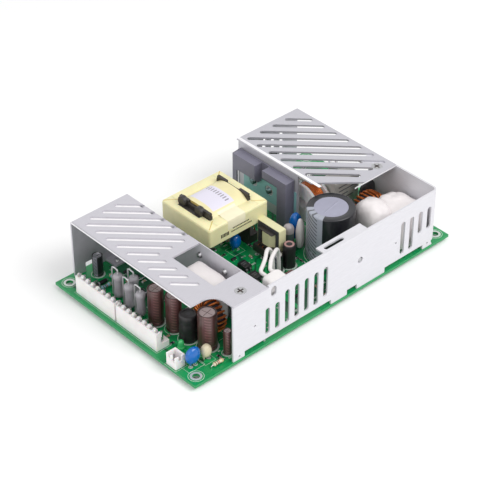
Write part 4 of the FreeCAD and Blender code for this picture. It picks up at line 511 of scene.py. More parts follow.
def label_field(look):
    """A bare pale field on the winding's tape, with one column of plain bars."""
    split = look.add("ShaderNodeSeparateXYZ", Vector=look.vector("MULTIPLY", look.place, (1000, 1000, 0)))
    x, y = split.outputs["X"], split.outputs["Y"]
    inside = look.sum("MULTIPLY", look.within(x, -2.0, 7.2), look.within(y, 0.0, 9.2))
    column = look.sum("MULTIPLY", look.within(x, 2.2, 1.3), look.within(y, 0.0, 8.0))
    bars = look.sum("LESS_THAN", look.sum("FRACT", look.sum("MULTIPLY", y, 0.55)), 0.42)
    field = look.blend(look.sum("MULTIPLY", bars, column), paint(222, 218, 232), paint(150, 146, 156))
    look.paint(look.blend(inside, look.colour, field))


label_field(winding_label)


# Electrolytic cans

def can(node, sleeve, top, scores=2, lid_share=0.78, sides=72):
    """A sleeved can: crimp groove, curled sleeve edge, sunk lid with pressed vent lines."""
    low, high, middle = box_of(node)
    radius = (high.x - low.x) / 2
    base, rim = low.z, high.z
    curl = min(0.8, radius * 0.12)
    lid = radius * lid_share
    form = Form()
    form.lathe([
        *inward(radius, base, (1.0, 0), (0.35, 0), (0.1, 0.25), (0, 0.8)),
        *inward(radius, base + radius * 0.5, (0, -0.7), (0.12, -0.35), (0.32, 0), (0.12, 0.35), (0, 0.7)),
        *inward(radius, rim, (0, -curl), (curl * 0.15, -curl * 0.45), (curl * 0.5, -curl * 0.12), (curl, 0)),
        *inward(lid, rim, (-0.25, -0.02), (0, -0.18), (0.12, -0.5)),
    ], sleeve, (middle.x, middle.y, 0), sides=sides)
    width = 0.16 + radius * 0.02

    def pressed(x, y):
        reach = math.hypot(x, y) / lid
        dish = -0.12 if reach < 0.9 else 0.0
        if reach > 0.8:
            return dish
        lines = (abs(x * 0.98 + y * 0.2), abs(y * 0.98 - x * 0.2))[-scores:]
        return dish + (0.2 if scores == 1 else -0.22) * max(0.0, 1 - min(lines) / width)

    form.disc((middle.x, middle.y, rim - 0.28), lid - 0.05, top, 26, 96, pressed)
    slot = "bulk_capacitor" if node == "bulk_capacitor" else "capacitor_sleeve"
    form.stand_for(node, slot, (middle.x, middle.y, base), weld=False)


for label in ("output_capacitor_1", "output_capacitor_2", "output_capacitor_3", "slim_capacitor"):
    can(label, brown_sleeve, rosy_foil)
for label in ("left_capacitor", "standby_capacitor"):
    can(label, black_can, foil)
can("bulk_capacitor", bulk_sleeve, vent, 1, 0.7, 120)

# Sheet metal, linings and moulded covers

dress("front_heatsink", sheet, 0.12, folded=True)
dress("rear_heatsink", rear_sheet, 0.12, folded=True)
dress("side_wall", wall_sheet_painted_light, 0.12, folded=True)
dress("heatsink_lining", lining)
dress("insulating_cover", insulator, 0.3, 3)
dress("insulating_film", film)
dress("board", bare_green)
for label in ("output_header_a", "output_header_b", "mains_header", "signal_header"):
    dress(label, nylon, 0.1)
dress("header_pins", tin, 0.12)


def header_teeth():
    """Row of locking teeth behind the friction wall of the two output headers."""
    form = Form()
    poles, pitch, end, half = 8, 3.96, 1.6, 0.85
    for label in ("output_header_a", "output_header_b"):
        low, high, _ = box_of(label)
        for number in range(poles + 1):
            y = low.y + end + (number - 0.5) * pitch
            near, far = max(low.y + 0.02, y - half), min(high.y - 0.02, y + half)
            for x0, x1, inset, rise, edge in ((1.5, 2.7, 0.0, 0.7, 0.2), (2.6, 3.5, 0.3, -0.5, 0.15)):
                form.block((low.x + x0, near + inset, high.z - 3.0), (low.x + x1, far - inset, high.z + rise),
                           nylon, edge)
    form.piece("header_teeth", "header_nylon", middle=(low.x, low.y, high.z))


header_teeth()
dress("transformer_core", ferrite, 0.3)
dress("transformer_bobbin", brown_bobbin, 0.15)
dress("filter_choke_bobbin", nylon, 0.2)
dress("switch_leads", sleeve_white)
dress("solder_joints", solder)


# Screws

def screw(form, tip, head, shaft, radius, rise, look, countersunk):
    """A cross head screw from its tip to the top of its head, with its threads and its recess."""
    run, length = (head - tip).normalized(), (head - tip).length
    under, edge, pitch, thread = length - rise, radius - 0.15, 0.5, 0.22
    profile = [(0, 0), (shaft * 0.7, 0), (shaft, 0.35)]
    for turn in range(int((under - 0.5) / pitch)):
        level = 0.4 + turn * pitch
        profile += [(shaft, level), (shaft - thread, level + pitch / 2)]
    profile.append((shaft, under))
    if countersunk:
        profile += [
            (shaft + 0.1, under), (edge, length - 0.35), (radius, length - 0.2),
            (radius - 0.05, length - 0.02),
        ]
    else:
        profile += [
            (edge, under), (radius, under + 0.15), (radius, under + rise * 0.45),
            (radius * 0.86, under + rise * 0.8),
        ]
    form.lathe(profile, look, tip, run, caps=False)
    dome = 0.0 if countersunk else rise * 0.2
    reach = profile[-1][0]

    def recess(x, y):
        level = dome * (1 - (math.hypot(x, y) / reach) ** 2)
        arm, across = max(abs(x), abs(y)), min(abs(x), abs(y))
        if across < radius * 0.13 and arm < radius * 0.62:
            return level - 0.55 * rise
        return level

    made = form.disc(head - run * (dome if dome else 0.02), reach, look, 22, 72, recess, run)
    # The faces sunk in the cross take the dark colour: painted shade in the recess.
    sunk = [face for face in made if (face.calc_center_median() - head).dot(run) < -0.3 * rise]
    form.faces_look(sunk, recess_painted_shade)


def screws(node, shaft, radius, rise, countersunk=False):
    """A node's screws: down through the plates, up through the board, or across into wall and flanges."""
    form = Form()
    for low, high, middle in solids_of(node):
        axis = 2
        if node == "package_screws":
            axis = 1 if high.y < 10 else 0
        tip, head = middle.copy(), middle.copy()
        tip[axis], head[axis] = low[axis], high[axis]
        if node == "board_screws":
            tip, head = head, tip
        # Screws driven across at the rear flange get the darker steel as painted shade.
        look = steel_painted_shade if axis == 0 and middle.x >= 80 else steel
        screw(form, tip, head, shaft, radius, rise, look, countersunk)
    form.stand_for(node, "screw_steel", middle)


screws("plate_screws", 1.6, 2.95, 1.7, True)
screws("package_screws", 1.45, 2.65, 1.8)
screws("board_screws", 1.45, 2.75, 1.8)


# Screwed packages

PIN_PITCH = 2.54


def package(node, along, sense):
    """A moulded body and its plated tab with a hole, on three legs that are narrower at their ends."""
    low, high, middle = box_of(node)
    form = Form()
    across = 1 - along
    back = low[along] if sense > 0 else high[along]
    half, tab, body_high = 4.98, 6.3, 9.2
    body_top = high.z - tab
    body_low = body_top - body_high

    def spot(out, side, level):
        place = Vector((0, 0, level))
        place[along], place[across] = back + sense * out, middle[across] + side
        return place

    def slab(out, sides, levels, look, edge):
        ends = spot(out[0], sides[0], levels[0]), spot(out[1], sides[1], levels[1])
        low_end, high_end = zip(*[sorted(pair) for pair in zip(*ends)])
        form.block(low_end, high_end, look, edge)

    slab((0.02, 4.48), (-half, half), (body_low, body_top), black, 0.35)
    slab((0.02, 1.28), (-4.95, 4.95), (body_top - 0.2, high.z - 4.6), tin, 0.1)
    # the tab round its hole
    hole, bore, count = high.z - 2.7, 1.75, 48
    rows = []
    for out in (0.02, 1.28):
        inner, outer = [], []
        for step in range(count):
            turn = 2 * math.pi * (step + 0.5) / count
            side, up = math.cos(turn), math.sin(turn)
            inner.append(spot(out, bore * side, hole + bore * up))
            reach = min(4.95 / max(abs(side), 1e-6), (2.68 if up > 0 else 2.0) / max(abs(up), 1e-6))
            outer.append(spot(out, reach * side, hole + reach * up))
        rows += [inner, outer] if out < 1 else [outer, inner]
    rows.append(rows[0])
    form.skin(rows, tin, closed=True, caps=False)
    form.lathe([(0, 0), (0.7, 0), (0.75, 0.04), (0, 0.05)], shiny_black, spot(4.45, -3.4, body_top - 1.6),
               spot(1, 0, 0) - spot(0, 0, 0), 20)
    for far, drop in ((3.6, 4.6), (2.2, 5.8), (3.0, 7.0)):
        slab((4.4, 4.5), (-3.6, far), (body_top - drop, body_top - drop + 0.4), marking, 0.02)
    for side in (-PIN_PITCH, 0, PIN_PITCH):
        shoulder = max(body_low - 2.6, TOP + 0.4)
        slab((1.7, 2.2), (side - 0.6, side + 0.6), (shoulder, body_low + 0.3), tin, 0.08)
        slab((1.72, 2.18), (side - 0.4, side + 0.4), (TOP, body_low - 0.3), tin, 0.08)
    form.stand_for(node, "moulded_package", middle)


for label in ("output_rectifier_1", "output_rectifier_2", "power_transistor_1", "power_transistor_2"):
    package(label, 0, 1)
package("wall_diode", 1, 1)


def bridge():
    """A flat upright bridge with one cut corner, a hole's dent and four legs."""
    low, high, middle = box_of("bridge_rectifier")
    form = Form()
    base, cut = low.z + 3.0, 3.4
    outline = [(low.x, base), (high.x, base), (high.x, high.z - cut), (high.x - cut, high.z), (low.x, high.z)]
    rows = [[(x, y, level) for x, level in outline] for y in (low.y + 0.02, high.y - 0.02)]
    made = form.skin(rows, black, closed=True)
    form.rounded(list({vert for face in made for vert in face.verts}), black, 0.4, 3)
    for number in range(4):
        x = middle.x + (number - 1.5) * 2 * PIN_PITCH
        form.block((x - 0.6, low.y + 1.5, base - 1.6), (x + 0.6, low.y + 2.1, base + 0.3), tin, 0.08)
        form.block((x - 0.4, low.y + 1.52, TOP), (x + 0.4, low.y + 2.08, base - 1.4), tin, 0.08)
        form.block((x - 0.15, low.y, base + 1.4), (x + 0.15, low.y + 0.1, base + 2.6), marking, 0.02)
    form.lathe([(0, 0), (1.7, 0), (1.9, 0.1), (0, 0.12)], shiny_black,
               (middle.x, low.y + 0.06, high.z - 5.0), (0, -1, 0), 36)
    form.stand_for("bridge_rectifier", "moulded_package", middle)


bridge()


# Dipped and moulded parts on wire legs

def legs(form, x, y, top, neck, coat):
    """Two wires up from the board, 3 mm apart; the coat runs down them as cones."""
    wire = 0.3
    for foot in (x - 1.5, x + 1.5):
        form.tube([(foot, y, TOP), (foot, y, top)], wire, tin)
        form.lathe([
            (0.0, neck - 1.0), (wire + 0.06, neck - 1.0), (wire + 0.25, neck), (wire + 0.55, top), (0, top),
        ], coat, (foot, y, 0), sides=16)


def dipped(node, slot, look, x, y, power=2.2, stand=1.9):
    """A coated disc or drop on two wires."""
    low, high, middle = box_of(node)
    base = low.z + stand
    form = Form()
    centre = Vector((middle.x, middle.y, (base + high.z) / 2))
    half = (high.x - low.x) / 2 - 0.02, (high.y - low.y) / 2 - 0.02, (high.z - base) / 2
    form.egg(centre, half, look, power)
    legs(form, x, y, base + 1.1, base + 0.1, look)
    form.stand_for(node, slot, middle)


dipped("front_disc_capacitor", "blue_coating", blue_coat, 9.0, 11.8)
dipped("bridge_disc_capacitor", "blue_coating", blue_coat, 85.4, 65.9)
dipped("blue_disc_capacitor", "blue_coating", blue_coat, 113.7, 50.2, stand=2.6)
dipped("disc_varistor", "disc_varistor", pale_coat, 16.8, 11.0)
dipped("inrush_thermistor", "inrush_thermistor", ink_coat, 159.0, 42.6, stand=6.0)
dipped("red_capacitor", "red_capacitor", wine_box, 84.6, 23.6, 5.0, 1.2)


def standing_drop():
    """An upright coated body whose rounded top is pale and shiny."""
    low, high, middle = box_of("dipped_capacitor")
    radius, base, rim = (high.x - low.x) / 2 - 0.02, low.z, high.z
    form = Form()
    form.lathe([
        (0, base + 0.8), *inward(radius, base, (0.8, 0.8), (0.15, 1.5), (0, 3.0)),
        *inward(radius, rim, (0.1, -5.4), (0.05, -4.6)),
    ], green_coat, (middle.x, middle.y, 0))
    form.lathe([
        *inward(radius, rim, (0.05, -4.6), (0, -3.0), (0.25, -1.6), (0.9, -0.6), (1.8, -0.1)), (0, rim),
    ], drop_top, (middle.x, middle.y, 0))
    legs(form, middle.x, middle.y, base + 1.6, base + 1.0, green_coat)
    form.stand_for("dipped_capacitor", "dipped_capacitor", middle)


standing_drop()


def box_capacitor():
    """A pale moulded box on small feet, with plain raised bars on its two long faces."""
    low, high, middle = box_of("x_capacitor")
    form = Form()
    form.block((low.x, low.y, low.z + 0.5), high, pale_box, 0.7, 3)
    for x in (low.x + 0.4, high.x - 1.9):
        for y in (low.y + 0.4, high.y - 1.9):
            form.block((x, y, low.z), (x + 1.5, y + 1.5, low.z + 0.9), pale_box, 0.1)
    for number, wide in enumerate((9.0, 12.0, 7.0, 11.0, 5.0)):
        x, level = low.x + 2.4, high.z - 4.0 - 2.6 * number
        for near, far in ((low.y - 0.02, low.y + 0.1), (high.y - 0.1, high.y + 0.02)):
            form.block((x, near, level), (x + wide, far, level + 0.8), grey_print, 0.02)
    form.stand_for("x_capacitor", "x_capacitor", middle)


box_capacitor()


def lamp_body():
    """A small round lamp: flange, dome, and the two wires inside it."""
    low, high, middle = box_of("indicator_lamp")
    base, rim = low.z, high.z
    form = Form()
    form.lathe([
        (0, base + 0.3), (1.85, base + 0.3), (1.88, base + 0.5), (1.88, base + 1.1), (1.55, base + 1.25),
        (1.52, rim - 1.5), (1.38, rim - 0.9), (1.0, rim - 0.35), (0.5, rim - 0.06), (0, rim),
    ], lamp_green, (middle.x, middle.y, 0), sides=36)
    for x in (middle.x - 0.7, middle.x + 0.7):
        form.block((x - 0.2, middle.y - 0.2, base), (x + 0.2, middle.y + 0.2, rim - 2.2), tin, 0.04)
    form.block((middle.x - 0.9, middle.y - 0.3, rim - 2.6), (middle.x + 0.2, middle.y + 0.3, rim - 2.0),
               tin, 0.08)
    form.stand_for("indicator_lamp", "indicator_lamp", middle)


lamp_body()


def fuse_body():
    """A glass fuse between plated caps, held in two sprung clips, with its wire inside."""
    low, high, middle = box_of("fuse")
    level, along = high.z - 3.0, (1, 0, 0)
    form = Form()
    form.lathe([(2.45, 0), (2.5, 0.2), (2.5, 13.0), (2.45, 13.2)], glass,
               (low.x + 3.4, middle.y, level), along)
    form.tube([(low.x + 3, middle.y, level), (high.x - 3, middle.y, level)], 0.12, copper, 8)
    for start in (low.x, high.x - 5.0):
        form.lathe([(0, 0), (2.4, 0), (2.68, 0.25), (2.7, 4.7), (2.5, 5.0), (0, 5.0)], tin,
                   (start, middle.y, level), along)
        rows = []
        for step in range(29):
            turn = math.radians(280 * step / 28 - 230)
            rows.append([
                (start + out, middle.y + reach * math.cos(turn), level + reach * math.sin(turn))
                for out, reach in ((0.9, 2.72), (0.9, 2.98), (4.1, 2.98), (4.1, 2.72))
            ])
        form.skin(rows, tin, closed=True)
        for y in (middle.y - 0.6, middle.y + 0.6):
            form.block((start + 1.7, y - 0.15, TOP), (start + 3.3, y + 0.15, level - 2.7), tin, 0.05)
    form.stand_for("fuse", "fuse", middle)


fuse_body()


# Chips and small parts on the board

def chips():
    """Moulded bodies with a dot and two plain bars, on legs bent down from their sides."""
    form = Form()
    for low, high, middle in solids_of("control_chips"):
        near, far = low.y + 0.7, high.y - 0.7
        form.block((low.x, near, 2.2), (high.x, far, high.z), chip_black, 0.18)
        form.lathe([(0, 0), (0.55, 0), (0.5, 0.03), (0, 0.04)], shiny_black,
                   (low.x + 1.0, near + 1.0, high.z - 0.02), sides=16)
        count = 4 if high.x - low.x > 6 else 2
        for number in range(count):
            x = middle.x + (number - (count - 1) / 2) * PIN_PITCH
            for side, y in ((-1, near), (1, far)):
                leg = y + side * 0.58
                form.strip([(x, y - side * 0.2, 3.7), (x, y + side * 0.45, 3.7)], 1.2, 0.22, tin)
                for half, foot, head in ((0.28, TOP, 3.92), (0.6, 2.7, 3.9)):
                    form.block((x - half, leg - 0.12, foot), (x + half, leg + 0.12, head), tin, 0.05)
        for share, y in ((0.7, middle.y + 0.8), (0.5, middle.y - 0.4)):
            x = (high.x - low.x) * share / 2
            form.block((middle.x - x, y, high.z - 0.05), (middle.x + x, y + 0.5, high.z + 0.01),
                       marking, 0.01)
    form.stand_for("control_chips", "control_chips", middle)


chips()


def axials():
    """Banded resistors and diodes on wires bent down at both ends."""
    form = Form()
    bend, sides = 0.7, 28
    bands = (
        (0.85, 1.11, band_brown), (2.2, 0.885, band_black), (3.0, 0.885, band_red), (5.0, 1.11, band_gold),
    )
    for number, (low, high, middle) in enumerate(solids_of("axial_parts")):
        wide, deep = high.x - low.x, high.y - low.y
        along = Vector((1, 0, 0)) if wide > deep else Vector((0, 1, 0))
        reach = max(wide, deep) / 2 - 0.3
        centre = Vector((middle.x, middle.y, high.z - 1.12))
        start = centre - along * 3.1
        if number % 3 == 1:
            form.lathe([(0, 0), (0.95, 0), (1.05, 0.15), (1.05, 6.05), (0.95, 6.2), (0, 6.2)], chip_black,
                       start, along, sides)
            form.lathe([(1.05, 0.7), (1.08, 0.72), (1.08, 1.5), (1.05, 1.52)], foil, start, along, sides)
        else:
            form.lathe([
                (0, 0), (0.5, 0), (0.9, 0.25), (1.1, 0.8), (1.08, 1.4), (0.88, 1.9), (0.86, 4.3), (1.08, 4.8),
                (1.1, 5.4), (0.9, 5.95), (0.5, 6.2), (0, 6.2),
            ], pale_coat if number % 3 else sky_coat, start, along, sides)
            for place, radius, tone in bands:
                form.lathe([(radius - 0.05, 0), (radius, 0.02), (radius, 0.42), (radius - 0.05, 0.44)], tone,
                           start + along * place, along, sides)
        for side in (-1, 1):
            out = along * side
            line = [centre + out * 3.0, centre + out * (reach - bend)]
            for step in range(6):
                turn = math.radians(90 * step / 5)
                drop = Vector((0, 0, bend - bend * math.cos(turn)))
                line.append(centre + out * (reach - bend + bend * math.sin(turn)) - drop)
            tip = centre + out * reach
            form.tube([*line, (tip.x, tip.y, TOP)], 0.26, tin)
    form.stand_for("axial_parts", "axial_parts", middle)


axials()


# The board's own detail

HOLE_INSET = 5.08
EDGE_GAP = 1.2
LOW_PARTS = 4.0
PART_GAP = 2.6
OVERHEAD = (
    "board", "front_heatsink", "rear_heatsink", "side_wall", "heatsink_lining", "plate_screws",
    "solder_joints", "white_adhesive", "transformer_tape", "transformer_core", "transformer_winding",
    "transformer_bobbin", "switch_leads", "insulating_film",
)
UNDER_METAL = (
    (10.2, 103.0, 47.1, BOARD_WIDE), (24.7, 0, 167.1, 2.4), (122.6, 103.0, 167.1, BOARD_WIDE),
    (60.8, 64.0, 66.5, 90.0), (96.2, 64.0, 101.8, 90.0), (165, 0, 167.5, 50),
)
holes = [(x, y) for x in (HOLE_INSET, BOARD_LONG - HOLE_INSET) for y in (HOLE_INSET, BOARD_WIDE - HOLE_INSET)]
joints = [middle for _, _, middle in solids_of("solder_joints")]
standing = [*UNDER_METAL, *((x - 4, y - 4, x + 4, y + 4) for x, y in holes)]
for label in nodes:
    if label not in OVERHEAD:
        standing += [(low.x, low.y, high.x, high.y) for low, high, _ in solids_of(label) if low.z < LOW_PARTS]


def free(x, y, gap):
    """Whether a spot on the board is clear of every part that stands on it."""
    if any(x0 - gap < x < x1 + gap and y0 - gap < y < y1 + gap for x0, y0, x1, y1 in standing):
        return False
    return EDGE_GAP < x < BOARD_LONG - EDGE_GAP and EDGE_GAP < y < BOARD_WIDE - EDGE_GAP


def near_hole(x, y, gap):
    return any(math.hypot(x - hole_x, y - hole_y) < gap for hole_x, hole_y in holes)


def wander(rng, level):
    """A track from a joint: straight runs with bends of 45 degrees, kept on the board."""
    start = rng.choice(joints)
    x, y = start.x, start.y
    turn = rng.randrange(8)
    points = [(x, y, level)]
    for _ in range(rng.randrange(2, 5)):
        far = rng.uniform(4.0, 17.0)
        x1, y1 = x + far * math.cos(turn * math.pi / 4), y + far * math.sin(turn * math.pi / 4)
        if not (3 < x1 < BOARD_LONG - 3 and 3 < y1 < BOARD_WIDE - 3):
            turn += 2
        elif near_hole(x1, y1, 7):
            turn += 3
        else:
            x, y = x1, y1
            points.append((x, y, level))
            turn += rng.choice((-1, 1))
    return points


def copper_side(name, level, sense, seed, count, areas):
    """Copper under the mask on one face: wide areas, tracks and vias."""
    rng = random.Random(seed)
    form = Form()
    thick = 0.035 * sense
    for number, (x0, y0, x1, y1) in enumerate(areas):
        cut = min(x1 - x0, y1 - y0) * 0.22
        outline = [(x0 + cut, y0), (x1, y0), (x1, y1 - cut), (x1 - cut, y1), (x0, y1), (x0, y0 + cut)]
        face = level + sense * (0.018 + 0.0003 * number)
        form.skin([[(x, y, rise) for x, y in outline] for rise in (level - thick, face)], trace, closed=True)
    for number in range(count):
        points = wander(rng, level + sense * (0.004 + 0.0004 * number))
        if len(points) > 1:
            width = rng.choice((0.5, 0.7, 1.0, 1.6, 2.4))
            form.strip(points, width, thick, pale_trace if number % 3 else trace)
    for _ in range(count):
        x, y = rng.uniform(4, BOARD_LONG - 4), rng.uniform(4, BOARD_WIDE - 4)
        if not near_hole(x, y, 6):
            form.ring_line((x, y, level), 0.38, 0.34, thick * 1.4, tin, sides=16)
    form.piece(name, "board", middle=(0, 0, level))


copper_side("board_top_copper", TOP, 1, 11, 90, (
    (10, 58, 34, 74), (28, 74, 46, 100), (48, 56, 60, 78), (50, 20, 74, 34), (66, 30, 84, 36),
    (70, 4, 104, 18), (104, 44, 120, 58), (103, 72, 116, 98), (124, 44, 140, 50), (130, 74, 166, 99),
    (160, 50, 172, 98), (4, 96, 12, 101), (48, 82, 60, 104), (64, 96, 100, 105),
))
copper_side("board_underside_copper", 0.0, -1, 23, 150, (
    (4, 30, 30, 60), (4, 64, 30, 98), (34, 20, 60, 48), (34, 52, 60, 100), (64, 62, 80, 92),
    (84, 62, 100, 92), (64, 14, 100, 40), (104, 14, 130, 44), (104, 50, 124, 100), (128, 50, 146, 74),
    (128, 78, 170, 104), (148, 14, 172, 60),
))


def pads():
    """Plated rings round the corner holes and at the joints."""
    form = Form()
    for x, y in holes:
        for level, thick in ((TOP, 0.06), (0.0, -0.06)):
            form.ring_line((x, y, level), 2.5, 1.2, thick, pad_tin, sides=56)
            form.ring_line((x, y, level), 3.9, 0.22, thick, silk, sides=56)
    for joint in joints:
        form.ring_line((joint.x, joint.y, TOP), 0.85, 0.7, 0.05, pad_tin, sides=20)
    form.piece("board_pads", "solder_joints", middle=(0, 0, TOP))


pads()


def print_lines():
    """White lines round the parts, arcs at the cans, and plain short bars where a board has its marks."""
    form = Form()
    level, thick, margin = TOP + 0.045, 0.03, Vector((0.7, 0.7, 0))

    def line(x0, y0, x1, y1, wide=0.16):
        form.strip([(x0, y0, level), (x1, y1, level)], wide, thick, silk)

    for label in (
        "output_capacitor_1", "output_capacitor_2", "output_capacitor_3", "left_capacitor", "slim_capacitor",
        "standby_capacitor", "bulk_capacitor", "sleeved_choke", "hollow_choke", "dipped_capacitor",
    ):
        low, high, middle = box_of(label)
        spot, radius = (middle.x, middle.y, level), (high.x - low.x) / 2 + 0.75
        form.ring_line(spot, radius, 0.3, thick, silk)
        form.ring_line(spot, radius - 0.5, 0.6, thick, silk, 200, 340)
    for label in (
        "output_header_a", "output_header_b", "signal_header", "mains_header", "x_capacitor", "red_capacitor",
        "bridge_rectifier", "fuse", "front_disc_capacitor", "disc_varistor", "bridge_disc_capacitor",
        "output_choke_core", "boost_choke_core", "filter_choke_bobbin",
    ):
        low, high, _ = box_of(label)
        low, high = low - margin, high + margin
        corners = [(low.x, low.y), (high.x, low.y), (high.x, high.y), (low.x, high.y)]
        for start, end in zip(corners, corners[1:] + corners[:1]):
            line(*start, *end)
    rng, tries = random.Random(5), 320
    for _ in range(tries):
        x, y = rng.uniform(3, BOARD_LONG - 6), rng.uniform(3, BOARD_WIDE - 3)
        if all(free(x + step, y + rise, 0.2) for step in (0, 1.5, 3) for rise in (-0.6, 0.6)):
            for bar in range(rng.randrange(2, 5)):
                line(x + 0.7 * bar, y - 0.55, x + 0.7 * bar, y + 0.55, 0.4)
    form.piece("board_print", "board", middle=(0, 0, TOP))


print_lines()


def small_parts(name, level, sense, seed, count):
    """Chip resistors, chip capacitors and small transistors soldered flat on one face."""
    rng = random.Random(seed)
    form = Form()
    placed = []
    while len(placed) < count:
        x, y = rng.uniform(4, BOARD_LONG - 4), rng.uniform(4, BOARD_WIDE - 4)
        kind = rng.random()
        if sense > 0 and not all(free(x + a, y + b, 0.3) for a in (-1.4, 0, 1.4) for b in (-1.4, 0, 1.4)):
            continue
        if sense < 0 and any(abs(x - joint.x) < PART_GAP and abs(y - joint.y) < PART_GAP for joint in joints):
            continue
        if near_hole(x, y, 6.5) or any(math.hypot(x - px, y - py) < PART_GAP for px, py in placed):
            continue
        placed.append((x, y))
        across = rng.random() < 0.5

        def part(long, wide, rises, look, edge=0.06):
            """A block between two ends each way, and between two rises from the board's face."""
            (x0, x1), (y0, y1) = (wide, long) if across else (long, wide)
            under, over = sorted(level + sense * rise for rise in rises)
            form.block((x + x0, y + y0, under), (x + x1, y + y1, over), look, edge, 1)

        if kind < 0.75:
            part((-0.75, 0.75), (-0.6, 0.6), (0.05, 0.6), chip_black if kind < 0.42 else tan_chip)
            for side in (-1, 1):
                part(sorted((side * 0.72, side * 1.05)), (-0.62, 0.62), (0.02, 0.62), tin)
                part(sorted((side * 0.9, side * 1.5)), (-0.7, 0.7), (0.0, 0.14), solder)
        else:
            part((-1.45, 1.45), (-0.7, 0.7), (0.15, 1.1), chip_black, 0.12)
            for shift, side in ((-0.95, -1), (0.95, -1), (0, 1)):
                part((shift - 0.22, shift + 0.22), sorted((side * 0.65, side * 1.3)), (0.02, 0.3), tin)
    form.piece(name, "control_chips", middle=(0, 0, level))


small_parts("board_small_parts", TOP, 1, 3, 95)
small_parts("board_underside_parts", 0.0, -1, 9, 110)


def jumpers():
    """Bare wires that bridge tracks."""
    form = Form()
    rise, crown = Vector((0, 0, 0.35)), Vector((0, 0, 0.6))
    for x0, y0, x1, y1 in (
        (58.6, 55.5, 66.0, 55.5), (60.2, 49.5, 60.2, 44.8), (27.0, 58.5, 34.5, 58.5),
        (25.0, 61.5, 25.0, 55.0), (104.5, 33.0, 104.5, 41.0), (103.6, 82.0, 103.6, 92.0),
        (30.5, 80.0, 38.5, 80.0), (12.6, 94.2, 16.4, 94.2), (68.0, 28.5, 76.5, 28.5),
        (126.5, 53.5, 126.5, 60.5),
    ):
        start, end = Vector((x0, y0, TOP)), Vector((x1, y1, TOP))
        bend = (end - start) * 0.05
        line = [start, start + rise, start + bend + crown, end - bend + crown, end + rise, end]
        form.tube(line, 0.3, tin, 8)
    form.piece("board_jumpers", "header_pins", middle=(0, 0, TOP))


jumpers()


def painted_edge_highlights():
    """Painted highlights: near-white strips along the sheared edges of the two slotted tops and along the
    fold of the rear flange, for the light that catches them.
    """
    form = Form()
    low, high, _ = box_of("front_heatsink")
    rear, rear_high, _ = box_of("rear_heatsink")
    near = box_of("heatsink_lining")[0].y - 0.6
    under, over = high.z - SHEET_THICK + 0.1, high.z - 0.1
    for first, second, edge, steps in (
        ((low.x - 0.03, near, under), (low.x + 0.05, high.y - 0.3, over), 0.02, 1),
        ((low.x - 0.01, near, over - 0.02), (low.x + 0.45, high.y - 0.3, high.z), 0.02, 1),
        ((rear.x, rear.y + 12.5, over), (rear.x + 1.9, rear_high.y - 0.4, high.z + 0.02), 0.05, 2),
        ((rear.x + 13.4, rear.y - 0.03, under), (rear_high.x - 0.3, rear.y + 0.05, over), 0.02, 1),
    ):
        form.block(first, second, painted_edge_highlight, edge, steps)
    form.piece("sheet_painted_edge_highlights", "sheet_metal", middle=(low.x, low.y, high.z))


painted_edge_highlights()


# Upright parts at the output end

def load_resistor(number, low, high):
    """A coated resistor on end: necked body, and a bright lead from its top down beside it."""
    radius, wire = 2.6, 0.4
    middle = Vector((low.x + radius, low.y + radius, 0))
    base, rim = low.z + 1.0, low.z + 15.0
    form = Form()
    form.lathe([
        (0, base), (1.1, base), (2.0, base + 0.25), (2.45, base + 0.9), (radius, base + 1.9),
        (2.5, base + 2.9), (2.3, base + 3.7), (2.24, base + 5.5), (2.24, rim - 5.0), (2.3, rim - 3.8),
        (2.5, rim - 3.0), (radius, rim - 2.0), (2.5, rim - 1.1), (2.1, rim - 0.4), (1.3, rim - 0.05),
        (0.5, rim + 0.1), (0, rim + 0.1),
    ], grey_epoxy, middle, sides=32)
    reach = high.y - wire - middle.y
    arch = (
        (0, rim - 0.5), (0, rim + 1.4), (0.25, rim + 2.4), (reach * 0.3, high.z - 0.6),
        (reach * 0.55, high.z - 0.4), (reach * 0.8, high.z - 0.7), (reach - 0.1, rim + 1.6),
        (reach, rim - 1.0), (reach, base + 4.0), (reach, TOP),
    )
    line = [(middle.x, middle.y + away, level) for away, level in arch]
    form.tube(curve_through(line, 5), wire, bright_tin)
    form.tube([(middle.x, middle.y, TOP), (middle.x, middle.y, base + 0.4)], wire, bright_tin)
    form.piece(f"load_resistor_{number}", "load_resistors", ["load_resistors"], middle)


for number, (low, high, _) in enumerate(solids_of("load_resistors"), 1):
    load_resistor(number, low, high)


def shrunk_choke():
    """A drum choke in a black shrunk sleeve, whose ends curl in over the drum."""
    low, high, middle = box_of("sleeved_choke")
    radius, spot = (high.x - low.x) / 2, (middle.x, middle.y, 0)
    form = Form()
    form.lathe([
        *inward(radius, low.z, (1.1, 0), (0.5, 0), (0.1, 0.5), (0, 1.4), (0.04, 5.0), (0.22, 5.6),
                (0.04, 6.2)),
        *inward(radius, high.z, (0.04, -5.2), (0.2, -4.6), (0.04, -4.0), (0, -1.5), (0.15, -0.7),
                (0.6, -0.15), (1.1, 0), (1.5, -0.1), (1.6, -0.5)),
    ], black_sleeve, spot, sides=56)
    form.lathe([(0, high.z - 1.2), *inward(radius, high.z, (1.4, -1.2), (1.2, -0.6)), (0, high.z - 0.45)],
               ferrite, spot)
    form.stand_for("sleeved_choke", "sleeved_choke", (middle.x, middle.y, low.z))


shrunk_choke()


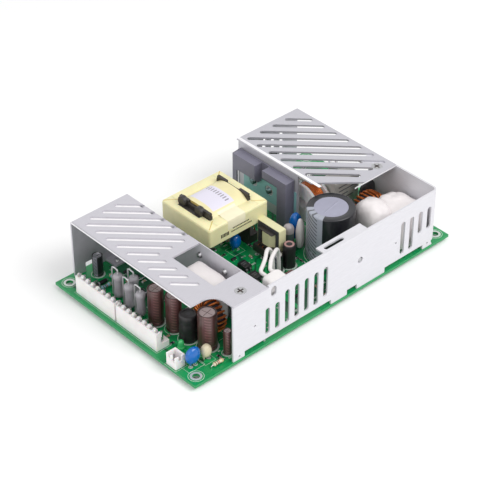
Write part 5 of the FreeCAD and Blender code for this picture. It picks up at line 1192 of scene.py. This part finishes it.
def hollow_choke():
    """A tall drum in a black sleeve that leaves a pinkish ring and a red bore open at the top."""
    low, high, middle = box_of("hollow_choke")
    radius, rim, spot = (high.x - low.x) / 2, high.z, (middle.x, middle.y, 0)
    form = Form()
    form.lathe([
        (1.3, low.z), *inward(radius, low.z, (0.4, 0), (0, 0.5), (0.1, 3.0), (0.25, 4.0), (0.1, 5.0)),
        *inward(radius, rim, (0.05, -1.6), (0.2, -0.5), (0.5, -0.2), (0.7, -0.3)),
    ], black_sleeve, spot, sides=48)
    form.lathe([
        *inward(radius, rim, (0.75, -0.8), (0.7, -0.2), (0.9, 0)), (1.75, rim - 0.1), (1.5, rim - 0.5),
        (1.5, rim - 0.7),
    ], hollow_pink, spot, sides=48)
    form.lathe([
        (1.5, rim - 0.9), (1.5, rim - 0.65), (0.75, rim - 0.75), (0.6, rim - 1.0), (0.6, rim - 4.0),
        (0, rim - 4.0),
    ], hollow_red, spot)
    form.stand_for("hollow_choke", "hollow_choke", (middle.x, middle.y, low.z))


hollow_choke()


# Wound parts

def ring_choke(core, winding, axis, turns):
    """A ring core wound with one wire, turn beside turn; axis 0 lies along x and 1 along y."""
    wire, steps, rings = 0.6, 22, 72
    low, high, middle = box_of(core)
    outer, half = (high.z - low.z) / 2, (high[axis] - low[axis]) / 2
    bore = outer * 0.555
    belly, thick = (outer + bore) / 2, (outer - bore) / 2
    along, side = Vector((1 - axis, axis, 0)), Vector((axis, 1 - axis, 0))
    form = Form()

    def spot(turn, part, gap, power):
        """A point round the ring and round its section, at a gap from the core."""
        radial = side * math.cos(turn) + Vector((0, 0, math.sin(turn)))
        wide, tall = superellipse(part, thick + gap, half + gap, power)
        return middle + radial * (belly + wide) + along * tall

    rows = []
    for ring in range(rings + 1):
        rows.append([spot(2 * math.pi * ring / rings, part, -0.05, 6) for part in circle(24)])
    form.skin(rows, ferrite, closed=True, caps=False)
    count, start, share = turns * steps, math.radians(-62), 0.94
    line = []
    for step in range(count + 1):
        turn = start + 2 * math.pi * share * step / count
        line.append(spot(turn, 2 * math.pi * step / steps, wire * 1.05, 5))
    first, last = [(end.x, end.y, TOP) for end in (line[0], line[-1])]
    form.tube([first, *line, last], wire, copper, 8)
    form.piece(winding + "_look", "copper_wire", [core, winding], middle)


ring_choke("output_choke_core", "output_choke_winding", 0, 20)
ring_choke("boost_choke_core", "boost_choke_winding", 1, 25)


def filter_choke():
    """Two layers of enamelled wire on the drum between the pale flanges."""
    low, high, middle = box_of("filter_choke_winding")
    outer = (high.z - low.z) / 2
    form = Form()
    wire, steps = 0.46, 40
    for radius, gap in ((outer - wire, 0.0), (outer - 3 * wire, wire)):
        start, end = low.x + wire + gap, high.x - wire - gap
        count = int((end - start) / (2 * wire * 1.02)) * steps
        line = []
        for step in range(count + 1):
            turn = 2 * math.pi * step / steps
            line.append((
                start + (end - start) * step / count, middle.y + radius * math.cos(turn),
                middle.z + radius * math.sin(turn),
            ))
        form.tube(line, wire, copper, 8)
    form.stand_for("filter_choke_winding", "copper_wire", middle)


filter_choke()


# Transformers

def wrap(form, low, high, look):
    """Tape round a core in three offset layers, with the ends of each turn folded in at the corners."""
    corner, fold, count = 1.5, 2.2, 6
    middle = (low + high) / 2

    def folded(place, centre, shrink):
        return place - math.copysign(min(shrink, abs(place - centre)), place - centre)

    for layer, rise in enumerate((0.55, 0.0, 0.32)):
        inset = corner + 0.16 * layer
        outline = []
        for quarter, (x, y) in enumerate((
            (high.x - inset, high.y - inset), (low.x + inset, high.y - inset),
            (low.x + inset, low.y + inset), (high.x - inset, low.y + inset),
        )):
            for step in range(count + 1):
                turn = math.radians(90 * quarter + 90 * step / count)
                outline.append((x + corner * math.cos(turn), y + corner * math.sin(turn)))
        rows = []
        for shrink, level in (
            (fold, low.z + rise + 0.25), (0.35, low.z + rise + 0.1), (0.0, low.z + rise + 0.45),
            (0.0, high.z - rise - 0.45), (0.35, high.z - rise - 0.08), (fold, high.z - rise - 0.22),
        ):
            row = []
            for x, y in outline:
                sag = 0.12 * noise.noise(Vector((x * 0.25, y * 0.25, layer * 3.1))) if shrink == fold else 0
                row.append((folded(x, middle.x, shrink), folded(y, middle.y, shrink), level + sag))
            rows.append(row)
        form.skin(rows, look, closed=True, caps=False)


def tape_round_core():
    """Taped core: flat bands above and below it, folds over its corners, and rows of plain bars in front."""
    low, high, middle = box_of("transformer_tape")
    inner, inner_high, _ = box_of("transformer_winding")
    lid = high.z - 0.02
    form = Form()
    wrap(form, low, high, tape_yellow)
    for x0, x1, y0, y1 in (
        (low.x + 0.9, inner.x - 1.9, low.y + 0.9, high.y - 0.9),
        (inner_high.x + 1.9, high.x - 0.9, low.y + 0.9, high.y - 0.9),
        (inner.x - 2.2, inner_high.x + 2.2, low.y + 0.9, inner.y + 0.2),
        (inner.x - 2.2, inner_high.x + 2.2, inner_high.y - 0.2, high.y - 0.9),
    ):
        for under, over in ((lid - 0.28, lid), (low.z + 0.02, low.z + 0.28)):
            form.block((x0, y0, under), (x1, y1, over), tape_yellow, 0.1)
    for x, way_x in ((low.x, 1), (high.x, -1)):
        for y, way_y in ((low.y, 1), (high.y, -1)):
            start = (x + way_x * 0.8, y + way_y * 0.8, lid - 0.02)
            end = (x + way_x * 7.2, y + way_y * 5.6, lid - 0.02)
            form.strip([start, end], 0.5, 0.05, amber_winding)
    pitch, wide = 0.95, 0.66
    for start, span, rise, tall in ((8.0, 6.0, 3.0, 2.2), (15.0, 15.0, 3.6, 0.8), (16.0, 12.0, 5.4, 0.8)):
        for bar in range(int(span / pitch)):
            x, level = low.x + start + pitch * bar, low.z + rise
            form.block((x, low.y - 0.03, level), (x + wide, low.y + 0.1, level + tall), shiny_black, 0.01, 1)
    form.stand_for("transformer_tape", "transformer_tape", (middle.x, middle.y, lid))


def crowned_winding():
    """The winding under its own tape and a bare label, with a strap of tape down over the front."""
    low, high, middle = box_of("transformer_winding")
    tape_low, tape_high, _ = box_of("transformer_tape")
    half = (high.y - low.y) / 2 - 0.2
    steps, parts = 28, 40
    form = Form()
    rows = []
    for part in range(parts + 1):
        x = low.x + 0.1 + (high.x - low.x - 0.2) * part / parts
        row = []
        for step in range(steps + 1):
            across = 2 * step / steps - 1
            ripple = 0.07 * noise.noise(Vector((x * 0.2, across * 1.4, 1.7)))
            row.append((x, middle.y + across * half, high.z - 0.05 - 3.6 * abs(across) ** 3.2 + ripple))
        rows.append(row)
    form.skin(rows, winding_label, caps=False)
    shape = [(y, level) for _, y, level in rows[0]]
    shape += [(y, low.z) for y, _ in (shape[-1], shape[0])]
    ends = rows[0][0][0], rows[-1][0][0]
    below = shape[-3:] + shape[:1]
    form.skin([[(x, y, level) for y, level in below] for x in ends], amber_winding, caps=False)
    for x in ends:
        points = [form.mesh.verts.new((x, y, level)) for y, level in shape]
        form.faces_look([form.mesh.faces.new(points)], amber_winding)
    reach, front, lid, crest = middle.y - half, tape_low.y, tape_high.z, 33.6
    path = (
        (reach + 1.6, high.z - 2.2), (reach + 0.4, high.z - 3.2), (reach - 0.6, lid + 0.55),
        (reach - 2.4, lid + 0.16), (front + 1.2, lid + 0.1), (front + 0.3, lid - 0.1),
        (front - 0.02, lid - 0.7), (front - 0.02, lid - 5.6),
    )
    places = (low.x + 4.5, low.x + 10.5, low.x + 16.5)
    form.skin([[(x, y, min(level, crest)) for x in places] for y, level in path], tape_pale, caps=False)
    form.stand_for("transformer_winding", "transformer_winding", middle)


def bobbin_lugs():
    """Rounded posts on the transformer's front flange, and the pins of its rails."""
    low, high, _ = box_of("transformer_bobbin")
    winding = box_of("transformer_winding")[0]
    form, pins = Form(), Form()
    for side, x in ((-1, low.x + 1.4), (1, high.x - 1.4)):
        for number in range(6):
            y = low.y + 2.4 + number * (high.y - low.y - 4.8) / 5
            pins.tube([(x, y, TOP), (x, y, TOP + 0.9)], 0.45, tin, 8)
            pins.tube(curve_through([
                (x - side * 0.1, y, TOP + 3.2), (x + side * 0.9, y + 0.3, TOP + 4.6),
                (x + side * 0.4, y + 0.2, TOP + 7.5),
                (x - side * 2.6, y * 0.9 + (low.y + high.y) * 0.05, TOP + 10.5),
            ], 6), 0.3, copper, 6)
    lid = box_of("transformer_tape")[1].z
    form.block((winding.x - 4.4, low.y + 5.6, lid - 0.2), (winding.x - 1.0, high.y - 2.2, lid + 0.12),
               brown_bobbin, 0.05)
    for y in (low.y + 7.6, high.y - 3.8):
        form.lathe([(0, 0), (2.5, 0), (2.9, 0.4), (2.9, 2.6), (2.5, 3.0), (0, 3.0)], brown_bobbin,
                   (winding.x - 3.4, y, high.z - 1.7), (1, 0, 0), 36)
    form.piece("transformer_bobbin_posts", "bobbin_plastic", middle=(low.x, low.y, high.z))
    pins.piece("transformer_bobbin_pins", "header_pins", middle=(low.x, low.y, TOP))


def standby_transformer():
    """Small upright transformer: tape over the core's rim, dark core face, eight sided taped winding."""
    low, high, middle = box_of("standby_core")
    form = Form()
    bar, leg, cover = 2.9, 2.6, 0.22
    for x0, x1 in ((low.x - 0.02, low.x + 0.9), (high.x - 0.9, high.x + 0.02)):
        for y0, y1, under, over in (
            (low.y + 0.1, high.y - 0.1, low.z + 0.1, low.z + bar),
            (low.y + 0.1, high.y - 0.1, high.z - bar, high.z - 0.3),
            (low.y + 0.1, low.y + leg, low.z + bar - 0.3, high.z - bar + 0.3),
            (high.y - leg, high.y - 0.1, low.z + bar - 0.3, high.z - bar + 0.3),
        ):
            form.block((x0, y0, under), (x1, y1, over), ferrite, 0.2)
    x0, x1 = low.x + 0.12, high.x - 0.12
    form.block((x0, low.y - 0.02, high.z - 0.5), (x1, high.y + 0.02, high.z), tape_cream, 0.2, 3)
    for y0, y1 in ((low.y - cover, low.y + 0.2), (high.y - 0.2, high.y + cover)):
        form.block((x0, y0, low.z + 0.4), (x1, y1, high.z - 0.1), tape_cream, 0.15)
    form.stand_for("standby_core", "standby_core", (low.x, low.y, low.z))

    wound = Form()
    base, rim = low.z + bar + 0.1, high.z - bar - 0.1
    sides = ((1, 0.45), (0.45, 1), (-0.45, 1), (-1, 0.45), (-1, -0.45), (-0.45, -1), (0.45, -1), (1, -0.45))
    rows = []
    for inset, level in ((0.3, base), (0.0, base + 0.3), (0.0, rim - 0.3), (0.3, rim)):
        wide, deep = 4.3 - inset, 5.15 - inset
        rows.append([(middle.x + wide * across, middle.y + deep * along, level) for across, along in sides])
    wound.skin(rows, tape_cream, closed=True)
    wound.stand_for("standby_winding", "standby_winding", middle)

    seat = Form()
    foot, top, _ = box_of("standby_bobbin")
    for x0, x1 in ((foot.x, middle.x - 2.6), (middle.x + 2.6, top.x)):
        seat.block((x0, foot.y + 0.1, TOP + 2.2), (x1, top.y - 0.1, TOP + 6.4), brown_bobbin, 0.4)
    seat.block((middle.x - 3.8, foot.y + 0.3, TOP + 3.4), (middle.x + 3.8, top.y - 0.3, low.z - 0.02),
               brown_bobbin)
    for level in (base - 0.35, rim):
        seat.block((foot.x + 1.2, middle.y - 5.3, level), (top.x - 1.2, middle.y + 5.3, level + 0.35),
                   brown_bobbin, 0.12)
    for number in range(4):
        y = foot.y + 2.5 + number * 3.6
        for x, way in ((foot.x + 1.0, 1), (top.x - 1.0, -1)):
            seat.tube([(x, y, TOP), (x, y, TOP + 2.4)], 0.32, tin, 8)
            seat.tube(curve_through([
                (x, y, TOP + 1.2), (x - way * 0.5, y, TOP + 2.4), (x - way * 0.35, y, TOP + 5.6),
                (x + way * 1.4, (y + middle.y) / 2, TOP + 8.6),
            ], 5), 0.16, copper, 6)
    seat.stand_for("standby_bobbin", "bobbin_plastic", middle)


tape_round_core()
crowned_winding()
bobbin_lugs()
standby_transformer()


# White adhesive, laid on wet

def lump(form, low, high, seed, power, depth, cuts=22, look=silicone):
    """A soft heap that fills a box: rounded all over, flat below, with slow swells."""
    low, high = Vector(low), Vector(high)
    middle, half = (low + high) / 2, (high - low) / 2

    def settled(point):
        reach = sum(abs(point[axis]) ** power for axis in range(3)) ** (-1 / power)
        spot = Vector([point[axis] * reach * half[axis] for axis in range(3)])
        swell = noise.noise(spot * 0.16 + Vector((seed, seed * 2.3, 0))) * 0.6
        swell += noise.noise(spot * 0.42 + Vector((0, seed, seed))) * 0.25
        spot *= 1 - depth * (0.5 + swell) * (0.35 + 0.65 * max(0.0, 0.4 + point.z * 0.6))
        spot += middle
        return Vector([min(max(spot[axis], low[axis]), high[axis]) for axis in range(3)])

    ticks = [math.tan(math.pi / 4 * (2 * step / cuts - 1)) for step in range(cuts + 1)]
    for axis in range(3):
        for end in (-1.0, 1.0):
            rows = []
            for across in ticks:
                row = []
                for along in ticks:
                    point = Vector((0, 0, 0))
                    point[axis], point[(axis + 1) % 3], point[(axis + 2) % 3] = end, across, along
                    row.append(settled(point))
                rows.append(row)
            form.skin(rows, look, caps=False)


def adhesive():
    """A bead at the bulk can, a block at the output choke, and the mass in the wall's corner."""
    form = Form()
    for seed, (low, high, _) in enumerate(solids_of("white_adhesive"), 3):
        wide, deep = high.x - low.x, high.y - low.y
        if wide < 6:
            lump(form, low, high, seed, 2.6, 0.2, 12)
        elif low.x > 130 and wide < 15:
            lump(form, low - Vector((1.2, 1.0, 0)), high + Vector((2.8, 3.0, 2.8)), seed, 3.4, 0.1)
        elif wide > 15:
            lump(form, (low.x - 3.2, low.y, low.z), (high.x, high.y - 2.0, high.z + 1.0), seed, 4.6, 0.06)
            lump(form, (low.x - 1.0, low.y + deep * 0.3, low.z), (high.x - 3.0, high.y + 1.0, high.z + 1.6),
                 seed + 9, 3.4, 0.12)
        else:
            lump(form, low, (high.x, low.y + deep * 0.66, high.z), seed, 5.0, 0.07)
            lump(form, (low.x, low.y + deep * 0.3, low.z), (high.x, high.y, high.z - 1.2),
                 seed + 5, 5.0, 0.08)
            lump(form, (low.x - 3.6, low.y + 0.4, 21.2), (high.x, high.y - 1.0, high.z + 1.6),
                 seed + 8, 6.0, 0.07)
    form.piece("white_adhesive_look", "silicone", ["white_adhesive"])


adhesive()


def thermal_switch():
    """A switch in a soft white sleeve whose ends are pinched."""
    low, high, middle = box_of("thermal_switch")
    form = Form()
    lump(form, low, high, 17, 4.4, 0.12, 20, sleeve_white)
    form.stand_for("thermal_switch", "white_sleeve", middle)


thermal_switch()


# Camera, lights and floor

WORLD_LIGHT = 0.66
scene = bpy.context.scene
scene.view_settings.view_transform = "Standard"


def outward(turn, rise):
    """The way out from the object at a turn from its front and a rise, in degrees."""
    turn, rise = math.radians(turn), math.radians(rise)
    return Vector((math.sin(turn) * math.cos(rise), -math.cos(turn) * math.cos(rise), math.sin(rise)))


def place(name, data, spot, away):
    """Stands a camera or a lamp at a spot, with its back to the way out."""
    made = bpy.data.objects.new(name, data)
    made.location = spot
    made.rotation_mode = "QUATERNION"
    made.rotation_quaternion = away.to_track_quat("Z", "Y")
    scene.collection.objects.link(made)
    return made


def lamp(name, energy, side, turn, rise, far):
    """A square soft lamp that looks at the object."""
    data = bpy.data.lights.new(name, "AREA")
    data.energy, data.size = energy, side
    away = outward(turn, rise)
    place(name, data, away * far, away)


lens = bpy.data.cameras.new("camera")
lens.lens = LENS
lens.clip_start, lens.clip_end = 0.01, 100.0
scene.camera = place("camera", lens, CAMERA_PLACE, outward(CAMERA_AZIMUTH, CAMERA_ELEVATION))
lamp("key", energy=12.4, side=0.9, turn=25.0, rise=50.0, far=1.5)
lamp("fill", energy=6.6, side=1.2, turn=-80.0, rise=35.0, far=1.6)

# White where the world is seen or mirrored, and dimmer where it lights the object
world = bpy.data.worlds.new("studio")
world.use_nodes = True
scene.world = world
tree = world.node_tree
path = tree.nodes.new("ShaderNodeLightPath")
seen = path.outputs["Is Camera Ray"]
for ray in ("Is Transmission Ray", "Is Glossy Ray"):
    either = tree.nodes.new("ShaderNodeMath")
    either.operation = "MAXIMUM"
    tree.links.new(seen, either.inputs[0])
    tree.links.new(path.outputs[ray], either.inputs[1])
    seen = either.outputs[0]
level = tree.nodes.new("ShaderNodeMapRange")
tree.links.new(seen, level.inputs["Value"])
level.inputs["To Min"].default_value = WORLD_LIGHT
level.inputs["To Max"].default_value = 1.0
background = tree.nodes["Background"]
background.inputs["Color"].default_value = (1.0, 1.0, 1.0, 1.0)
tree.links.new(level.outputs["Result"], background.inputs["Strength"])

floor_look = Look("floor", (0.96, 0.96, 0.96, 1.0), 0.9).mottle(3, 0.004)
floor_form = bmesh.new()
bmesh.ops.create_grid(floor_form, x_segments=2, y_segments=2, size=FLOOR_SIDE / 2)
floor_data = bpy.data.meshes.new("floor")
floor_form.to_mesh(floor_data)
floor_form.free()
floor = bpy.data.objects.new("floor", floor_data)
floor.location = (0, 0, FLOOR_LEVEL)
floor_data.materials.append(floor_look.material)
scene.collection.objects.link(floor)
